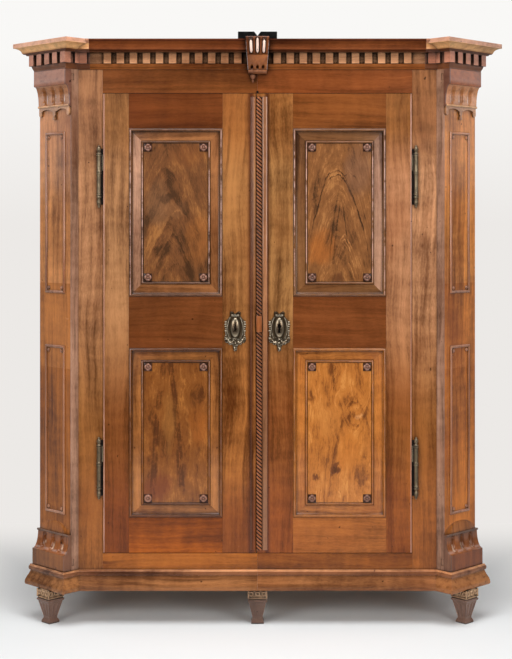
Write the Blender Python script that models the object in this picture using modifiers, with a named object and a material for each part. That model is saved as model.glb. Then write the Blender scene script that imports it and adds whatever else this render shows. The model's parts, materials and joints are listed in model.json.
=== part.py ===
"""Two-door walnut wardrobe with canted corners, dentil cornice, fielded doors and tapered feet.

Lengths are metres, +Z is up and the front looks along -Y. The origin lies on the floor, under
the middle of the outer box. A reach is a distance in front of the faces of the two front stiles.
"""
import math

import bmesh
import bpy
from mathutils import Matrix, Vector

ROOT_HALF = math.sqrt(0.5)

# Clearances
SEAT = 0.0003
WELD = 0.00001
OVERRUN = 0.004
DOOR_PLAY = 0.002
LEAF_GAP = 0.003
SLIDE_PLAY = 0.0005

# Case
CASE_HALF = 0.7603
CASE_DEPTH = 0.530
CORNER_WIDTH = 0.1833
CORNER_THICK = 0.0311
STILE_THICK = 0.028
SIDE_THICK = 0.026
BACK_THICK = 0.014
BACK_REBATE = 0.009
BACK_BOARDS = 5
BACK_GROOVE = 0.003
BOARD_THICK = 0.022
HOUSING_DEPTH = 0.008
HOUSING_SETBACK = 0.030
SHELF_SETBACK = 0.060
TOP_BOARD_DROP = 0.004

# Heights above the floor
FOOT_HEIGHT = 0.122
PLINTH_TOP = 0.194
SILL = 0.250
SHELF_HEIGHTS = (0.800, 1.360)
DOOR_STOP = 0.006
LINTEL = 1.871
FRIEZE_HEIGHT = 0.082
CORNICE_HEIGHT = 0.104

# Cornice
CORNICE_WALL = 0.026
FRONT_REACH = 0.043
SIDE_REACH = 0.050
CAP_INNER_REACH = 0.050
CAP_MAIN_REACH = 0.062
CAP_OUTER_REACH = 0.078
CAP_OVERLAP = 0.041
DENTIL_WIDTH = 0.0263
DENTIL_PITCH = 0.0458
DENTIL_REACH = 0.012
DENTIL_AIR = 0.0004
CAP_DENTILS = 5
FIRST_DENTIL = 0.0693

# Height share, front reach share, cap reach share, from the foot of the bed moulding upward
CORNICE_SHARES = (
    (0.00, 0.05, 0.00), (0.05, 0.09, 0.02), (0.08, 0.17, 0.05), (0.13, 0.22, 0.09),
    (0.185, 0.25, 0.12), (0.19, 0.06, 0.02), (0.565, 0.06, 0.02), (0.57, 0.79, 0.36),
    (0.61, 0.79, 0.40), (0.62, 0.88, 0.50), (0.66, 0.90, 0.57), (0.70, 0.85, 0.60),
    (0.74, 0.84, 0.63), (0.79, 0.84, 0.72), (0.83, 0.84, 0.86), (0.85, 0.86, 1.00),
    (0.93, 0.93, 1.00), (0.95, 1.00, 1.00), (1.00, 1.00, 1.00),
)
DENTIL_GROUND = 5
DENTIL_FOOT_SHARE = 0.19
DENTIL_HEAD_SHARE = 0.57

# Plinth
PLINTH_REACH = 0.020
# Height share from the bottom, reach share
PLINTH_SHARES = (
    (0.00, 0.90), (0.06, 1.00), (0.20, 0.96), (0.34, 0.78), (0.50, 0.50), (0.64, 0.30),
    (0.71, 0.26), (0.73, 0.42), (0.82, 0.50), (0.91, 0.46), (0.93, 0.34), (1.00, 0.30),
)

# Keystone
KEY_RISE = 0.0054
KEY_DROP = 0.047
KEY_HALF_TOP = 0.0409
KEY_HALF_FOOT = 0.0300
KEY_REACH = 0.068
KEY_FLUTE_RADIUS = 0.0085
KEY_FLUTE_SPACING = 0.0235
KEY_FLUTE_MARGIN = 0.011
KEY_FLUTE_LENGTH = 0.040
KEY_TAIL_SHARE = 0.9
# Height share from the foot, reach share
KEY_SHARES = (
    (0.00, 0.10), (0.13, 0.22), (0.19, 0.42), (0.24, 0.46), (0.28, 0.38), (0.30, 0.42),
    (0.42, 0.56), (0.55, 0.74), (0.68, 0.88), (0.82, 0.96), (0.93, 0.96), (0.94, 1.00), (1.00, 1.00),
)

# Iron tie over the joint of the two cornice halves
TIE_HALF = 0.069
TIE_HEIGHT = 0.0305
TIE_THICK = 0.016
TIE_SETBACK = 0.004
TIE_NOTCH_HALF = 0.012
TIE_NOTCH_DEPTH = 0.015

# Capital of a canted corner
FRIEZE_BLOCK_HEIGHT = 0.054
FRIEZE_BLOCK_REACH = 0.026
CAPITAL_HEIGHT = 0.067
CAPITAL_HEAD_REACH = 0.023
CAPITAL_NECK_REACH = 0.006
BEAD_HEIGHT = 0.009
BEAD_REACH = 0.009
BEAD_SHOULDER_SHARE = 0.4
BEAD_CROWN_SHARE = 0.3
APRON_HEIGHT = 0.044
APRON_REACH = 0.006
APRON_DROP_HALF = 0.007
APRON_SIDE_DROP = 0.026
APRON_ARCH_RISE = 0.011
FLUTE_RADIUS = 0.011
FLUTE_DEPTH = 0.005
FLUTE_SPACING = 0.043
FLUTE_MARGIN = 0.006

# Base console of a canted corner
BASE_BLOCK_REACH = 0.033
BASE_BLOCK_HEIGHT = 0.057
BASE_CONSOLE_HEIGHT = 0.061
BASE_LEDGE = 0.007
BASE_CONSOLE_REACH = 0.030
BASE_NECK_REACH = 0.008
BASE_LEDGE_REACH = 0.012
HILL_HEIGHT = 0.0415
# Height share, half width share, reach share of the weathering above the ledge
HILL_SHARES = (
    (0.00, 1.00, 1.00), (0.22, 0.72, 0.62), (0.50, 0.45, 0.40), (0.80, 0.31, 0.25), (1.00, 0.28, 0.15),
)
HILL_INSET_SHARE = 0.98

# Panels of the canted corners
CORNER_PANEL_HALF = 0.056
CORNER_PANEL_SPANS = ((0.385, 0.980), (1.165, 1.735))
CORNER_BEAD_WIDTH = 0.009
CORNER_BEAD_RISE = 0.003

# Sunk squares on the returns of the canted corners
RETURN_SQUARE = 0.024
RETURN_SQUARE_DEPTH = 0.002

# Side boards
SIDE_PANEL_MARGIN = 0.070
SIDE_PANEL_SPANS = ((0.290, 0.960), (1.120, 1.870))

# Feet
FOOT_HALF = 0.0345
FOOT_INSET = 0.022
CENTRE_FOOT_SETBACK = 0.024
BACK_FOOT_INSET = 0.038
# Height share from the floor, half width share
FOOT_SHARES = (
    (0.00, 0.58), (0.03, 0.62), (0.14, 0.60), (0.18, 0.51), (0.22, 0.50), (0.45, 0.66), (0.66, 0.82),
    (0.70, 0.92), (0.73, 1.08), (0.79, 1.08), (0.81, 1.00), (1.00, 1.00),
)

# Doors
FRONT_STILE = 0.0857
DOOR_THICK = 0.028
HINGE_STILE = 0.090
LEFT_MEETING_STILE = 0.118
RIGHT_MEETING_STILE = 0.127
TOP_RAIL = 0.123
BOTTOM_RAIL = 0.124
LOCK_RAIL = 0.181
LOCK_RAIL_DROP = 0.074
MEETING_LINE = -0.0035
GROOVE_DEPTH = 0.009
GROOVE_WIDTH = 0.009
GROOVE_REACH = -0.009
TONGUE_LENGTH = 0.008

# Door panel: the moulding at its frame, the flat behind the frame, and the raised field
PANEL_PROUD = 0.0040
PANEL_MOULD_WIDTH = 0.014
PANEL_FLAT_REACH = -0.008
PANEL_SLOPE = 0.0045
PANEL_FIELD_INSET = 0.045
PANEL_FIELD_MOULD = 0.012
PANEL_FIELD_REACH = -0.002
PANEL_FIELD_RISE = 0.0035
# Width share and rise share of the two mouldings of a door panel, from the outside in
PANEL_MOULD_SHARES = ((0.12, 1.00), (0.38, 1.00), (0.50, 0.60), (0.78, 0.18))
PANEL_FIELD_SHARES = ((0.25, 1.00), (0.55, 1.00), (0.75, 0.40))
ROSETTE_INSET = 0.066
ROSETTE_RADIUS = 0.0125
ROSETTE_RISE = 0.006
ROSETTE_PETALS = 6
ROSETTE_NOTCH_SHARE = 0.80
# Radius share and rise share of a rosette, from under its ground to its tip
ROSETTE_SHARES = ((1.00, -0.5), (1.00, 0.45), (0.80, 0.80), (0.42, 0.55), (0.34, 1.00), (0.12, 1.10))

# Strip over the meeting edges
STRIP_HEAD_MARGIN = 0.012
STRIP_FOOT_MARGIN = 0.010
STRIP_GROUND = 0.002
STRIP_VALLEY = 0.0012
FILLET_WIDTH = 0.0176
FILLET_REACH = 0.006
ROPE_WIDTH = 0.0178
ROPE_REACH = 0.009
STRIP_BLOCK_RISE = 0.039
STRIP_BLOCK_HEIGHT = 0.057
STRIP_BLOCK_REACH = 0.011
STRIP_BLOCK_INSET = 0.001

# Escutcheons
PLATE_HALF = 0.0395
PLATE_DROP = 0.080
PLATE_HEIGHT = 0.141
PLATE_THICK = 0.0025
PLATE_LEFT = -0.0785
PLATE_RIGHT = 0.0768
DOME_HALF_WIDTH = 0.0175
DOME_HALF_HEIGHT = 0.037
DOME_REACH = 0.009
DOME_SEGMENTS = 14
DOME_RINGS = 8
KEYHOLE = 1.047
KEYHOLE_RADIUS = 0.0018
KEYHOLE_SLOT = 0.010
KEYHOLE_EYE_ANGLES = range(-60, 241, 30)
# Half width share, height share from the foot, down the right edge of the plate
PLATE_SHARES = (
    (0.00, 0.93), (0.12, 1.00), (0.32, 0.985), (0.42, 0.92), (0.62, 0.955), (0.80, 0.90), (0.72, 0.82),
    (0.86, 0.76), (0.96, 0.66), (0.86, 0.58), (0.95, 0.48), (0.88, 0.38), (0.96, 0.30), (0.80, 0.20),
    (0.58, 0.22), (0.44, 0.14), (0.24, 0.15), (0.14, 0.04), (0.00, 0.00),
)

# Hinges
AXIS_OUT = 0.0126
AXIS_REACH = 0.010
BARREL_RADIUS = 0.009
HINGE_LENGTH = 0.220
HINGE_JOINT_SHARE = 0.57
HINGE_FEET = (0.441, 1.466)
HINGE_TURNS = 10
PIN_RADIUS = 0.0026
PIN_LENGTH = 0.050
PIN_PLAY = 0.0006
KNUCKLE_PLAY = 0.0006
LEAF_THICK = 0.0025
LEAF_OVERLAP = 0.0055
LEAF_HEIGHT = 0.060
LEAF_PLACE_SHARE = 0.36
# Length share from the joint, radius share of a barrel
BARREL_SHARES = (
    (0.00, 1.00), (0.05, 1.00), (0.08, 0.88), (0.60, 0.88), (0.63, 1.00), (0.70, 1.00), (0.73, 0.62),
    (0.80, 0.92), (0.88, 0.90), (0.94, 0.50), (0.97, 0.42), (1.00, 0.00),
)

# Lock
LOCK_LEFT = 0.016
LOCK_WIDTH = 0.092
LOCK_HEIGHT = 0.084
LOCK_DEPTH = 0.014
BOLT_HEIGHT = 0.020
BOLT_THICK = 0.007
BOLT_LENGTH = 0.060
BOLT_THROW = 0.014
BOLT_REST = 0.002
BOLT_SETBACK = 0.019
BOLT_DROP = 0.030
MORTISE_PLAY = 0.0015

# Places that follow from the sizes above
CANT = CORNER_WIDTH * ROOT_HALF
CORNER_FORE = CORNER_THICK * ROOT_HALF
STILE_OUT = CASE_HALF - CANT
CAP_FORE = CORNER_FORE + (CAP_MAIN_REACH + CAP_INNER_REACH) * ROOT_HALF
FRONT_Y = CAP_FORE - (CASE_DEPTH + CAP_FORE) / 2
OPENING_HALF = STILE_OUT - FRONT_STILE
AXIS_HALF = OPENING_HALF + AXIS_OUT
FRIEZE_TOP = LINTEL + FRIEZE_HEIGHT
CORNICE_TOP = FRIEZE_TOP + CORNICE_HEIGHT
KEY_TOP = CORNICE_TOP + KEY_RISE
KEY_FOOT = FRIEZE_TOP - KEY_DROP
KEY_FLUTE_TOP = CORNICE_TOP - KEY_FLUTE_MARGIN
KEY_FLUTE_FOOT = KEY_FLUTE_TOP - KEY_FLUTE_LENGTH
CAP_JOINT = STILE_OUT - CAP_OVERLAP
DOOR_FOOT = SILL + DOOR_PLAY
DOOR_HEAD = LINTEL - DOOR_PLAY
STRIP_TOP = DOOR_HEAD - STRIP_HEAD_MARGIN
STRIP_FOOT = DOOR_FOOT + STRIP_FOOT_MARGIN
DOOR_EDGE = OPENING_HALF - DOOR_PLAY
LEFT_LEAF_EDGE = MEETING_LINE - LEAF_GAP / 2
RIGHT_LEAF_EDGE = MEETING_LINE + LEAF_GAP / 2
DECK_BACK = BACK_THICK - CASE_DEPTH + SEAT
FRIEZE_BLOCK_FOOT = FRIEZE_TOP - FRIEZE_BLOCK_HEIGHT
CAPITAL_FOOT = FRIEZE_BLOCK_FOOT - CAPITAL_HEIGHT
BASE_BLOCK_TOP = PLINTH_TOP + BASE_BLOCK_HEIGHT
BASE_CONSOLE_TOP = BASE_BLOCK_TOP + BASE_CONSOLE_HEIGHT
LOCK_RAIL_FOOT = KEYHOLE - LOCK_RAIL_DROP
LOCK_RAIL_HEAD = LOCK_RAIL_FOOT + LOCK_RAIL
STRIP_BLOCK_TOP = KEYHOLE + STRIP_BLOCK_RISE
STRIP_BLOCK_FOOT = STRIP_BLOCK_TOP - STRIP_BLOCK_HEIGHT
FRIEZE_SQUARE = (FRIEZE_BLOCK_FOOT + FRIEZE_TOP) / 2
BASE_SQUARE = (PLINTH_TOP + BASE_BLOCK_TOP) / 2

# Outlines are drawn this much larger, because a filled curve loses points that lie very close
DRAWING_SCALE = 100
FLAT_ANGLE = math.radians(0.05)
SMOOTH_ANGLE = math.radians(35)

# Facets of the curved forms
FLARE_STEPS = 7
FLUTE_STEPS = 9
FLUTE_SIDES = 8
KEY_FLUTE_STEPS = 6
KEY_FLUTE_SIDES = 10
ARCH_STEPS = 6
FILLET_STEPS = 6
ROPE_STEPS = 8
FOOT_SIDES = 4
# How square the ends of a cutting rod are, and how small its tip is
ROD_FULLNESS = 12
ROD_TIP = 0.02

# Axes of an extruded outline: drawn in plan, from the side, or from the front
PLAN = Matrix.Identity(4)
SECTION = Matrix(((0, 0, 1, 0), (1, 0, 0, 0), (0, 1, 0, 0), (0, 0, 0, 1)))
FACE = Matrix(((1, 0, 0, 0), (0, 0, -1, 0), (0, 1, 0, 0), (0, 0, 0, 1)))


def fore(reach):
    """Y of a plane that stands this far in front of the stiles."""
    return FRONT_Y - reach


def collection(name):
    """New collection under the scene."""
    group = bpy.data.collections.new(name)
    bpy.context.scene.collection.children.link(group)
    return group


def finish(name, colour, roughness, metallic=0.0):
    """Principled material of one colour."""
    material = bpy.data.materials.new(name)
    material.use_nodes = True
    shader = material.node_tree.nodes["Principled BSDF"]
    shader.inputs["Base Color"].default_value = (*colour, 1.0)
    shader.inputs["Roughness"].default_value = roughness
    shader.inputs["Metallic"].default_value = metallic
    material.diffuse_color = (*colour, 1.0)
    return material


def evaluated(item):
    """Mesh of an object with its modifiers applied."""
    graph = bpy.context.evaluated_depsgraph_get()
    return bpy.data.meshes.new_from_object(item.evaluated_get(graph))


def shape_of(data, modify=None):
    """Turn a curve or a profile mesh into a closed shape, through a modifier if one is given."""
    carrier = bpy.data.objects.new("carrier", data)
    bpy.context.scene.collection.objects.link(carrier)
    if modify:
        modify(carrier)
    mesh = evaluated(carrier)
    shape = bmesh.new()
    shape.from_mesh(mesh)
    bmesh.ops.remove_doubles(shape, verts=shape.verts, dist=WELD)
    bmesh.ops.dissolve_limit(shape, angle_limit=FLAT_ANGLE, verts=shape.verts, edges=shape.edges)
    bpy.data.objects.remove(carrier)
    bpy.data.meshes.remove(mesh)
    return shape


def block(low, high):
    """Box between two corners."""
    low = Vector(low)
    high = Vector(high)
    place = Matrix.Translation((low + high) / 2) @ Matrix.Diagonal((high - low).to_4d())
    shape = bmesh.new()
    bmesh.ops.create_cube(shape, size=1, matrix=place)
    return shape


def extruded(outline, low, high, axes=PLAN):
    """Flat outline, extruded from one level to another along the third axis."""
    curve = bpy.data.curves.new("outline", "CURVE")
    curve.dimensions = "2D"
    curve.fill_mode = "BOTH"
    curve.extrude = (high - low) / 2 * DRAWING_SCALE
    spline = curve.splines.new("POLY")
    spline.points.add(len(outline) - 1)
    for point, (across, along) in zip(spline.points, outline):
        point.co = (across * DRAWING_SCALE, along * DRAWING_SCALE, 0, 1)
    spline.use_cyclic_u = True
    shape = shape_of(curve)
    true_size = Matrix.Scale(1 / DRAWING_SCALE, 4)
    shape.transform(axes @ Matrix.Translation((0, 0, (high + low) / 2)) @ true_size)
    return shape


def loft(rings, closed=False):
    """Skin over equal rings of points, capped at both ends unless the rings close."""
    shape = bmesh.new()
    rows = [[shape.verts.new(point) for point in ring] for ring in rings]
    pairs = list(zip(rows, rows[1:]))
    if closed:
        pairs.append((rows[-1], rows[0]))
    for one, other in pairs:
        for index in range(len(one)):
            follow = (index + 1) % len(one)
            shape.faces.new((one[index], one[follow], other[follow], other[index]))
    if not closed:
        shape.faces.new(rows[0])
        shape.faces.new(rows[-1])
    bmesh.ops.recalc_face_normals(shape, faces=shape.faces)
    return shape


def turned(profile, turns):
    """Profile of radius and height, from top to bottom, spun about the vertical axis."""
    mesh = bpy.data.meshes.new("profile")
    points = [(radius, 0, height) for radius, height in profile]
    mesh.from_pydata(points, [(index, index + 1) for index in range(len(points) - 1)], [])

    def spin(carrier):
        screw = carrier.modifiers.new("turning", "SCREW")
        screw.steps = turns
        screw.render_steps = turns
        screw.use_merge_vertices = True
        screw.merge_threshold = WELD

    return shape_of(mesh, spin)


def rounded_rod(path, radius, sides):
    """Rod with round ends along a path in a plane of constant X."""
    rings = []
    last = len(path) - 1
    for index, centre in enumerate(path):
        ahead = Vector(path[min(index + 1, last)]) - Vector(path[max(index - 1, 0)])
        along = ahead.normalized()
        across = Vector((1, 0, 0))
        upward = along.cross(across)
        share = abs(2 * index / last - 1)
        girth = radius * math.sqrt(max(1 - share ** ROD_FULLNESS, ROD_TIP))
        rings.append([
            Vector(centre) + (across * math.cos(turn) + upward * math.sin(turn)) * girth
            for turn in (math.tau * side / sides for side in range(sides))
        ])
    return loft(rings)


def part(name, shape, material, angle=None, frame=None):
    """Object of one sub-part, in the wardrobe's collection, placed by a frame of its own if given."""
    mesh = bpy.data.meshes.new(name)
    shape.to_mesh(mesh)
    shape.free()
    mesh.materials.append(material)
    if angle:
        mesh.shade_smooth()
        mesh.set_sharp_from_angle(angle=angle)
    item = bpy.data.objects.new(name, mesh)
    if frame:
        item.matrix_world = frame
    PARTS.objects.link(item)
    return item


def combine(item, shape, operation):
    """Join a shape to an object in its own frame, or cut it away, and keep it as a hidden guide."""
    mesh = bpy.data.meshes.new(item.name + "_tool")
    shape.to_mesh(mesh)
    shape.free()
    guide = bpy.data.objects.new(item.name + "_tool", mesh)
    guide.hide_render = True
    guide.display_type = "WIRE"
    guide.matrix_world = item.matrix_world
    CUTTERS.objects.link(guide)
    boolean = item.modifiers.new(operation.lower(), "BOOLEAN")
    boolean.operation = operation
    boolean.solver = "EXACT"
    boolean.object = guide


def mirrored(item, name):
    """Opposite-hand copy of an object across the centre line, with its modifiers applied."""
    mesh = evaluated(item)
    mesh.name = name
    mesh.transform(Matrix.Scale(-1, 4, (1, 0, 0)) @ item.matrix_world)
    mesh.flip_normals()
    copy = bpy.data.objects.new(name, mesh)
    PARTS.objects.link(copy)
    return copy


def gathered(shapes):
    """Several shapes in one, for a single cut or union."""
    whole = bmesh.new()
    for shape in shapes:
        mesh = bpy.data.meshes.new("gathered")
        shape.to_mesh(mesh)
        shape.free()
        whole.from_mesh(mesh)
        bpy.data.meshes.remove(mesh)
    return whole


def corner_frame():
    """Frame of the left canted corner: X along its face, -Y out of it, Z up."""
    middle_x = -(STILE_OUT + CORNER_FORE + CANT / 2)
    middle_y = fore(CORNER_FORE - CANT / 2)
    return Matrix.Translation((middle_x, middle_y, 0)) @ Matrix.Rotation(-math.pi / 4, 4, "Z")


def case_path(start):
    """Plan of the left half of the case, from the front to the back, outside on its left."""
    front = fore(0)
    return [
        Vector((-start, front)),
        Vector((-STILE_OUT, front)),
        Vector((-STILE_OUT - CORNER_FORE, fore(CORNER_FORE))),
        Vector((-CASE_HALF - CORNER_FORE, fore(CORNER_FORE - CANT))),
        Vector((-CASE_HALF, fore(-CANT))),
        Vector((-CASE_HALF, fore(-CASE_DEPTH))),
    ]


def leg_normals(path):
    """Outward normal of each leg of a plan path."""
    normals = []
    for one, other in zip(path, path[1:]):
        along = (other - one).normalized()
        normals.append(Vector((-along.y, along.x)))
    return normals


def moved_corners(path, reaches):
    """Corners of a plan path whose legs are each moved outward by a reach of their own."""
    normals = leg_normals(path)
    corners = [path[0] + normals[0] * reaches[0]]
    for index in range(1, len(path) - 1):
        one = normals[index - 1]
        other = normals[index]
        turn = one.x * other.y - one.y * other.x
        first = reaches[index - 1]
        second = reaches[index]
        shift = Vector(((first * other.y - second * one.y) / turn, (second * one.x - first * other.x) / turn))
        corners.append(path[index] + shift)
    corners.append(path[-1] + normals[-1] * reaches[-1])
    return corners


def mitred_run(path, levels):
    """Moulding along a plan path: a closed section of heights, each with the reaches of the legs."""
    rows = [[(*corner, height) for corner in moved_corners(path, reaches)] for height, reaches in levels]
    return loft([[row[index] for row in rows] for index in range(len(path))])


def nested(width, height, steps):
    """Panel of rectangles, one inside the other: each step is an inset and a reach."""
    rings = []
    for inset, reach in steps:
        half = width / 2 - inset
        rise = height / 2 - inset
        corners = ((-half, -rise), (half, -rise), (half, rise), (-half, rise))
        rings.append([(across, -reach, height) for across, height in corners])
    return rings


def bead_frame(width, height, thick, rise, sunk):
    """Raised bead round a rectangle, let into its ground."""
    steps = (
        (0, -sunk), (0, rise * BEAD_SHOULDER_SHARE), (thick * BEAD_CROWN_SHARE, rise),
        (thick * (1 - BEAD_CROWN_SHARE), rise), (thick, rise * BEAD_SHOULDER_SHARE), (thick, -sunk),
    )
    return loft(nested(width, height, steps), closed=True)


def deck_outline(front):
    """Plan of a board inside the case, canted behind the corners and housed in the sides."""
    slant = STILE_OUT + front - SEAT / ROOT_HALF
    inner = CASE_HALF - SIDE_THICK - SEAT
    housed = inner + HOUSING_DEPTH
    cant_end = inner - STILE_OUT + SEAT / ROOT_HALF
    stop = cant_end + HOUSING_SETBACK
    half = [(slant, -front), (inner, -cant_end), (inner, -stop), (housed, -stop), (housed, DECK_BACK)]
    right = [(across, fore(reach)) for across, reach in half]
    left = [(-across, place) for across, place in reversed(right)]
    return left + right


def deck_levels():
    """Underside of each board inside the case, by name, with its setback behind the stiles."""
    lower, upper = SHELF_HEIGHTS
    behind = STILE_THICK + SEAT
    return {
        "bottom_board": (SILL + DOOR_STOP - BOARD_THICK, behind),
        "shelf_lower": (lower, SHELF_SETBACK),
        "shelf_upper": (upper, SHELF_SETBACK),
        "top_board": (FRIEZE_TOP - BOARD_THICK - TOP_BOARD_DROP, behind),
    }


def make_decks():
    """Bottom, two shelves and top, each housed in the side boards."""
    for name, (foot, front) in deck_levels().items():
        part(name, extruded(deck_outline(front), foot, foot + BOARD_THICK), INNER_WOOD)


def make_sides():
    """Side boards: mitred against the corner posts, rebated for the back, housed for the boards."""
    slip = SEAT / ROOT_HALF
    inner = CASE_HALF - SIDE_THICK
    outline = [
        (-CASE_HALF, fore(-CANT - slip)),
        (-CASE_HALF, fore(-CASE_DEPTH)),
        (-inner - BACK_REBATE, fore(-CASE_DEPTH)),
        (-inner - BACK_REBATE, fore(BACK_THICK - CASE_DEPTH)),
        (-inner, fore(BACK_THICK - CASE_DEPTH)),
        (-inner, fore(SIDE_THICK - CANT - slip)),
    ]
    side = part("side_left", extruded(outline, FOOT_HEIGHT, FRIEZE_TOP), CASE_WOOD)
    stop = fore(-(inner - STILE_OUT) - HOUSING_SETBACK + SEAT)
    for foot, _front in deck_levels().values():
        low = (-inner - HOUSING_DEPTH, stop, foot - SEAT)
        high = (-inner + OVERRUN, fore(-CASE_DEPTH - OVERRUN), foot + BOARD_THICK + SEAT)
        combine(side, block(low, high), "DIFFERENCE")
    front = fore(-CANT) + SIDE_PANEL_MARGIN
    back = fore(-CASE_DEPTH) - SIDE_PANEL_MARGIN
    turn = Matrix.Rotation(-math.pi / 2, 4, "Z")
    for foot, head in SIDE_PANEL_SPANS:
        frame = bead_frame(back - front, head - foot, PANEL_MOULD_WIDTH, PANEL_PROUD, SIDE_THICK / 2)
        frame.transform(Matrix.Translation((-CASE_HALF, (front + back) / 2, (foot + head) / 2)) @ turn)
        combine(side, frame, "UNION")
    mirrored(side, "side_right")


def make_back():
    """Back of upright boards, with a groove at each joint."""
    half = CASE_HALF - SIDE_THICK + BACK_REBATE - SEAT
    outside = fore(-CASE_DEPTH)
    inside = fore(BACK_THICK - CASE_DEPTH - SEAT)
    outline = [(-half, inside), (-half, outside)]
    for board in range(1, BACK_BOARDS):
        joint = half * (2 * board / BACK_BOARDS - 1)
        outline += [
            (joint - BACK_GROOVE, outside), (joint, outside - BACK_GROOVE), (joint + BACK_GROOVE, outside),
        ]
    outline += [(half, outside), (half, inside)]
    part("back", extruded(outline, FOOT_HEIGHT, FRIEZE_TOP), INNER_WOOD)


def make_front():
    """Front stiles, and the rails above and below the doors, halved at the centre line."""
    slip = SEAT / ROOT_HALF
    outline = [
        (-OPENING_HALF, fore(0)), (-STILE_OUT + slip, fore(0)),
        (-STILE_OUT - STILE_THICK + slip, fore(-STILE_THICK)), (-OPENING_HALF, fore(-STILE_THICK)),
    ]
    stile = part("front_stile_left", extruded(outline, FOOT_HEIGHT, FRIEZE_TOP), CASE_WOOD)
    mirrored(stile, "front_stile_right")
    for name, foot, head in (("base_rail", FOOT_HEIGHT, SILL), ("frieze_rail", LINTEL, FRIEZE_TOP)):
        low = (-OPENING_HALF + SEAT, fore(0), foot)
        high = (-SEAT / 2, fore(-STILE_THICK), head)
        rail = part(name + "_left", block(low, high), RAIL_WOOD)
        mirrored(rail, name + "_right")


def key_half(height):
    """Half width of the keystone at a height."""
    share = (height - KEY_FOOT) / (KEY_TOP - KEY_FOOT)
    return KEY_HALF_FOOT + (KEY_HALF_TOP - KEY_HALF_FOOT) * share


def cornice_height(share):
    """Height of a point of the cornice's section."""
    return FRIEZE_TOP + SEAT + (CORNICE_HEIGHT - SEAT) * share


def make_cornice_front():
    """Centre run of the cornice, cut along the slope of the keystone, with its dentils."""
    section = [(FRONT_REACH * front, cornice_height(height)) for height, front, _cap in CORNICE_SHARES]
    section += [(-CORNICE_WALL, CORNICE_TOP), (-CORNICE_WALL, cornice_height(0))]
    near = [(-key_half(height) - SEAT, fore(reach), height) for reach, height in section]
    far = [(-CAP_JOINT + SEAT / 2, fore(reach), height) for reach, height in section]
    run = part("cornice_left", loft([near, far]), CORNICE_WOOD)
    ground = FRONT_REACH * CORNICE_SHARES[DENTIL_GROUND][1]
    teeth = []
    count = fitting(CAP_JOINT - FIRST_DENTIL - DENTIL_WIDTH)
    for index in range(count):
        left = -FIRST_DENTIL - DENTIL_PITCH * index - DENTIL_WIDTH / 2
        low = (left, fore(ground + DENTIL_REACH), cornice_height(DENTIL_FOOT_SHARE) + DENTIL_AIR)
        high = (left + DENTIL_WIDTH, fore(0), cornice_height(DENTIL_HEAD_SHARE) + DENTIL_AIR)
        teeth.append(block(low, high))
    combine(run, gathered(teeth), "UNION")
    mirrored(run, "cornice_right")


def cap_reaches(front, cap):
    """Reach of each leg of the cornice's corner, at one level of its section."""
    foot = FRIEZE_BLOCK_REACH
    return (
        FRONT_REACH * front, CAP_INNER_REACH * cap, foot + (CAP_MAIN_REACH - foot) * cap,
        CAP_OUTER_REACH * cap, SIDE_REACH * cap,
    )


def fitting(length):
    """How many dentils fit in a length between the first one and the last one."""
    return 1 + math.floor(length / DENTIL_PITCH)


def spaced(first, last, count):
    """Equal steps from one place to another."""
    return [first + (last - first) * step / (count - 1) for step in range(count)]


def corner_dentils(spans):
    """Where the dentils start along each leg of the cornice's corner, from the front to the side."""
    front, inner, main, _outer, side = spans
    proud = DENTIL_REACH
    shy = DENTIL_REACH - DENTIL_AIR
    width = DENTIL_WIDTH
    first_inner = inner + shy - width
    return (
        [front - proud / 2 - width],
        [first_inner, first_inner - DENTIL_PITCH],
        spaced(-proud, main + proud - width, CAP_DENTILS),
        [-shy, DENTIL_PITCH - shy],
        spaced(width / 2, side - width - width / 2, fitting(side - width * 2)),
    )


def make_cornice_end():
    """Corner cap and side run of the cornice, mitred in one, with dentils on every face."""
    path = case_path(CAP_JOINT + SEAT / 2)
    levels = [(cornice_height(height), cap_reaches(front, cap)) for height, front, cap in CORNICE_SHARES]
    inside = (-CORNICE_WALL,) * (len(path) - 1)
    levels += [(CORNICE_TOP, inside), (cornice_height(0), inside)]
    end = part("cornice_end_left", mitred_run(path, levels), CAP_WOOD)
    ground = moved_corners(path, cap_reaches(*CORNICE_SHARES[DENTIL_GROUND][1:]))
    foot = cornice_height(DENTIL_FOOT_SHARE) + DENTIL_AIR
    head = cornice_height(DENTIL_HEAD_SHARE) + DENTIL_AIR
    spans = [(other - one).length for one, other in zip(ground, ground[1:])]
    for leg, (one, other, starts) in enumerate(zip(ground, ground[1:], corner_dentils(spans))):
        along = other - one
        air = DENTIL_AIR * (leg % 2)
        place = Matrix.Translation((*one, 0)) @ Matrix.Rotation(math.atan2(along.y, along.x), 4, "Z")
        for start in starts:
            low = (start, -DENTIL_WIDTH / 2, foot + air)
            tooth = block(low, (start + DENTIL_WIDTH, DENTIL_REACH - air, head - air))
            tooth.transform(place)
            combine(end, tooth, "UNION")
    mirrored(end, "cornice_end_right")


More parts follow.
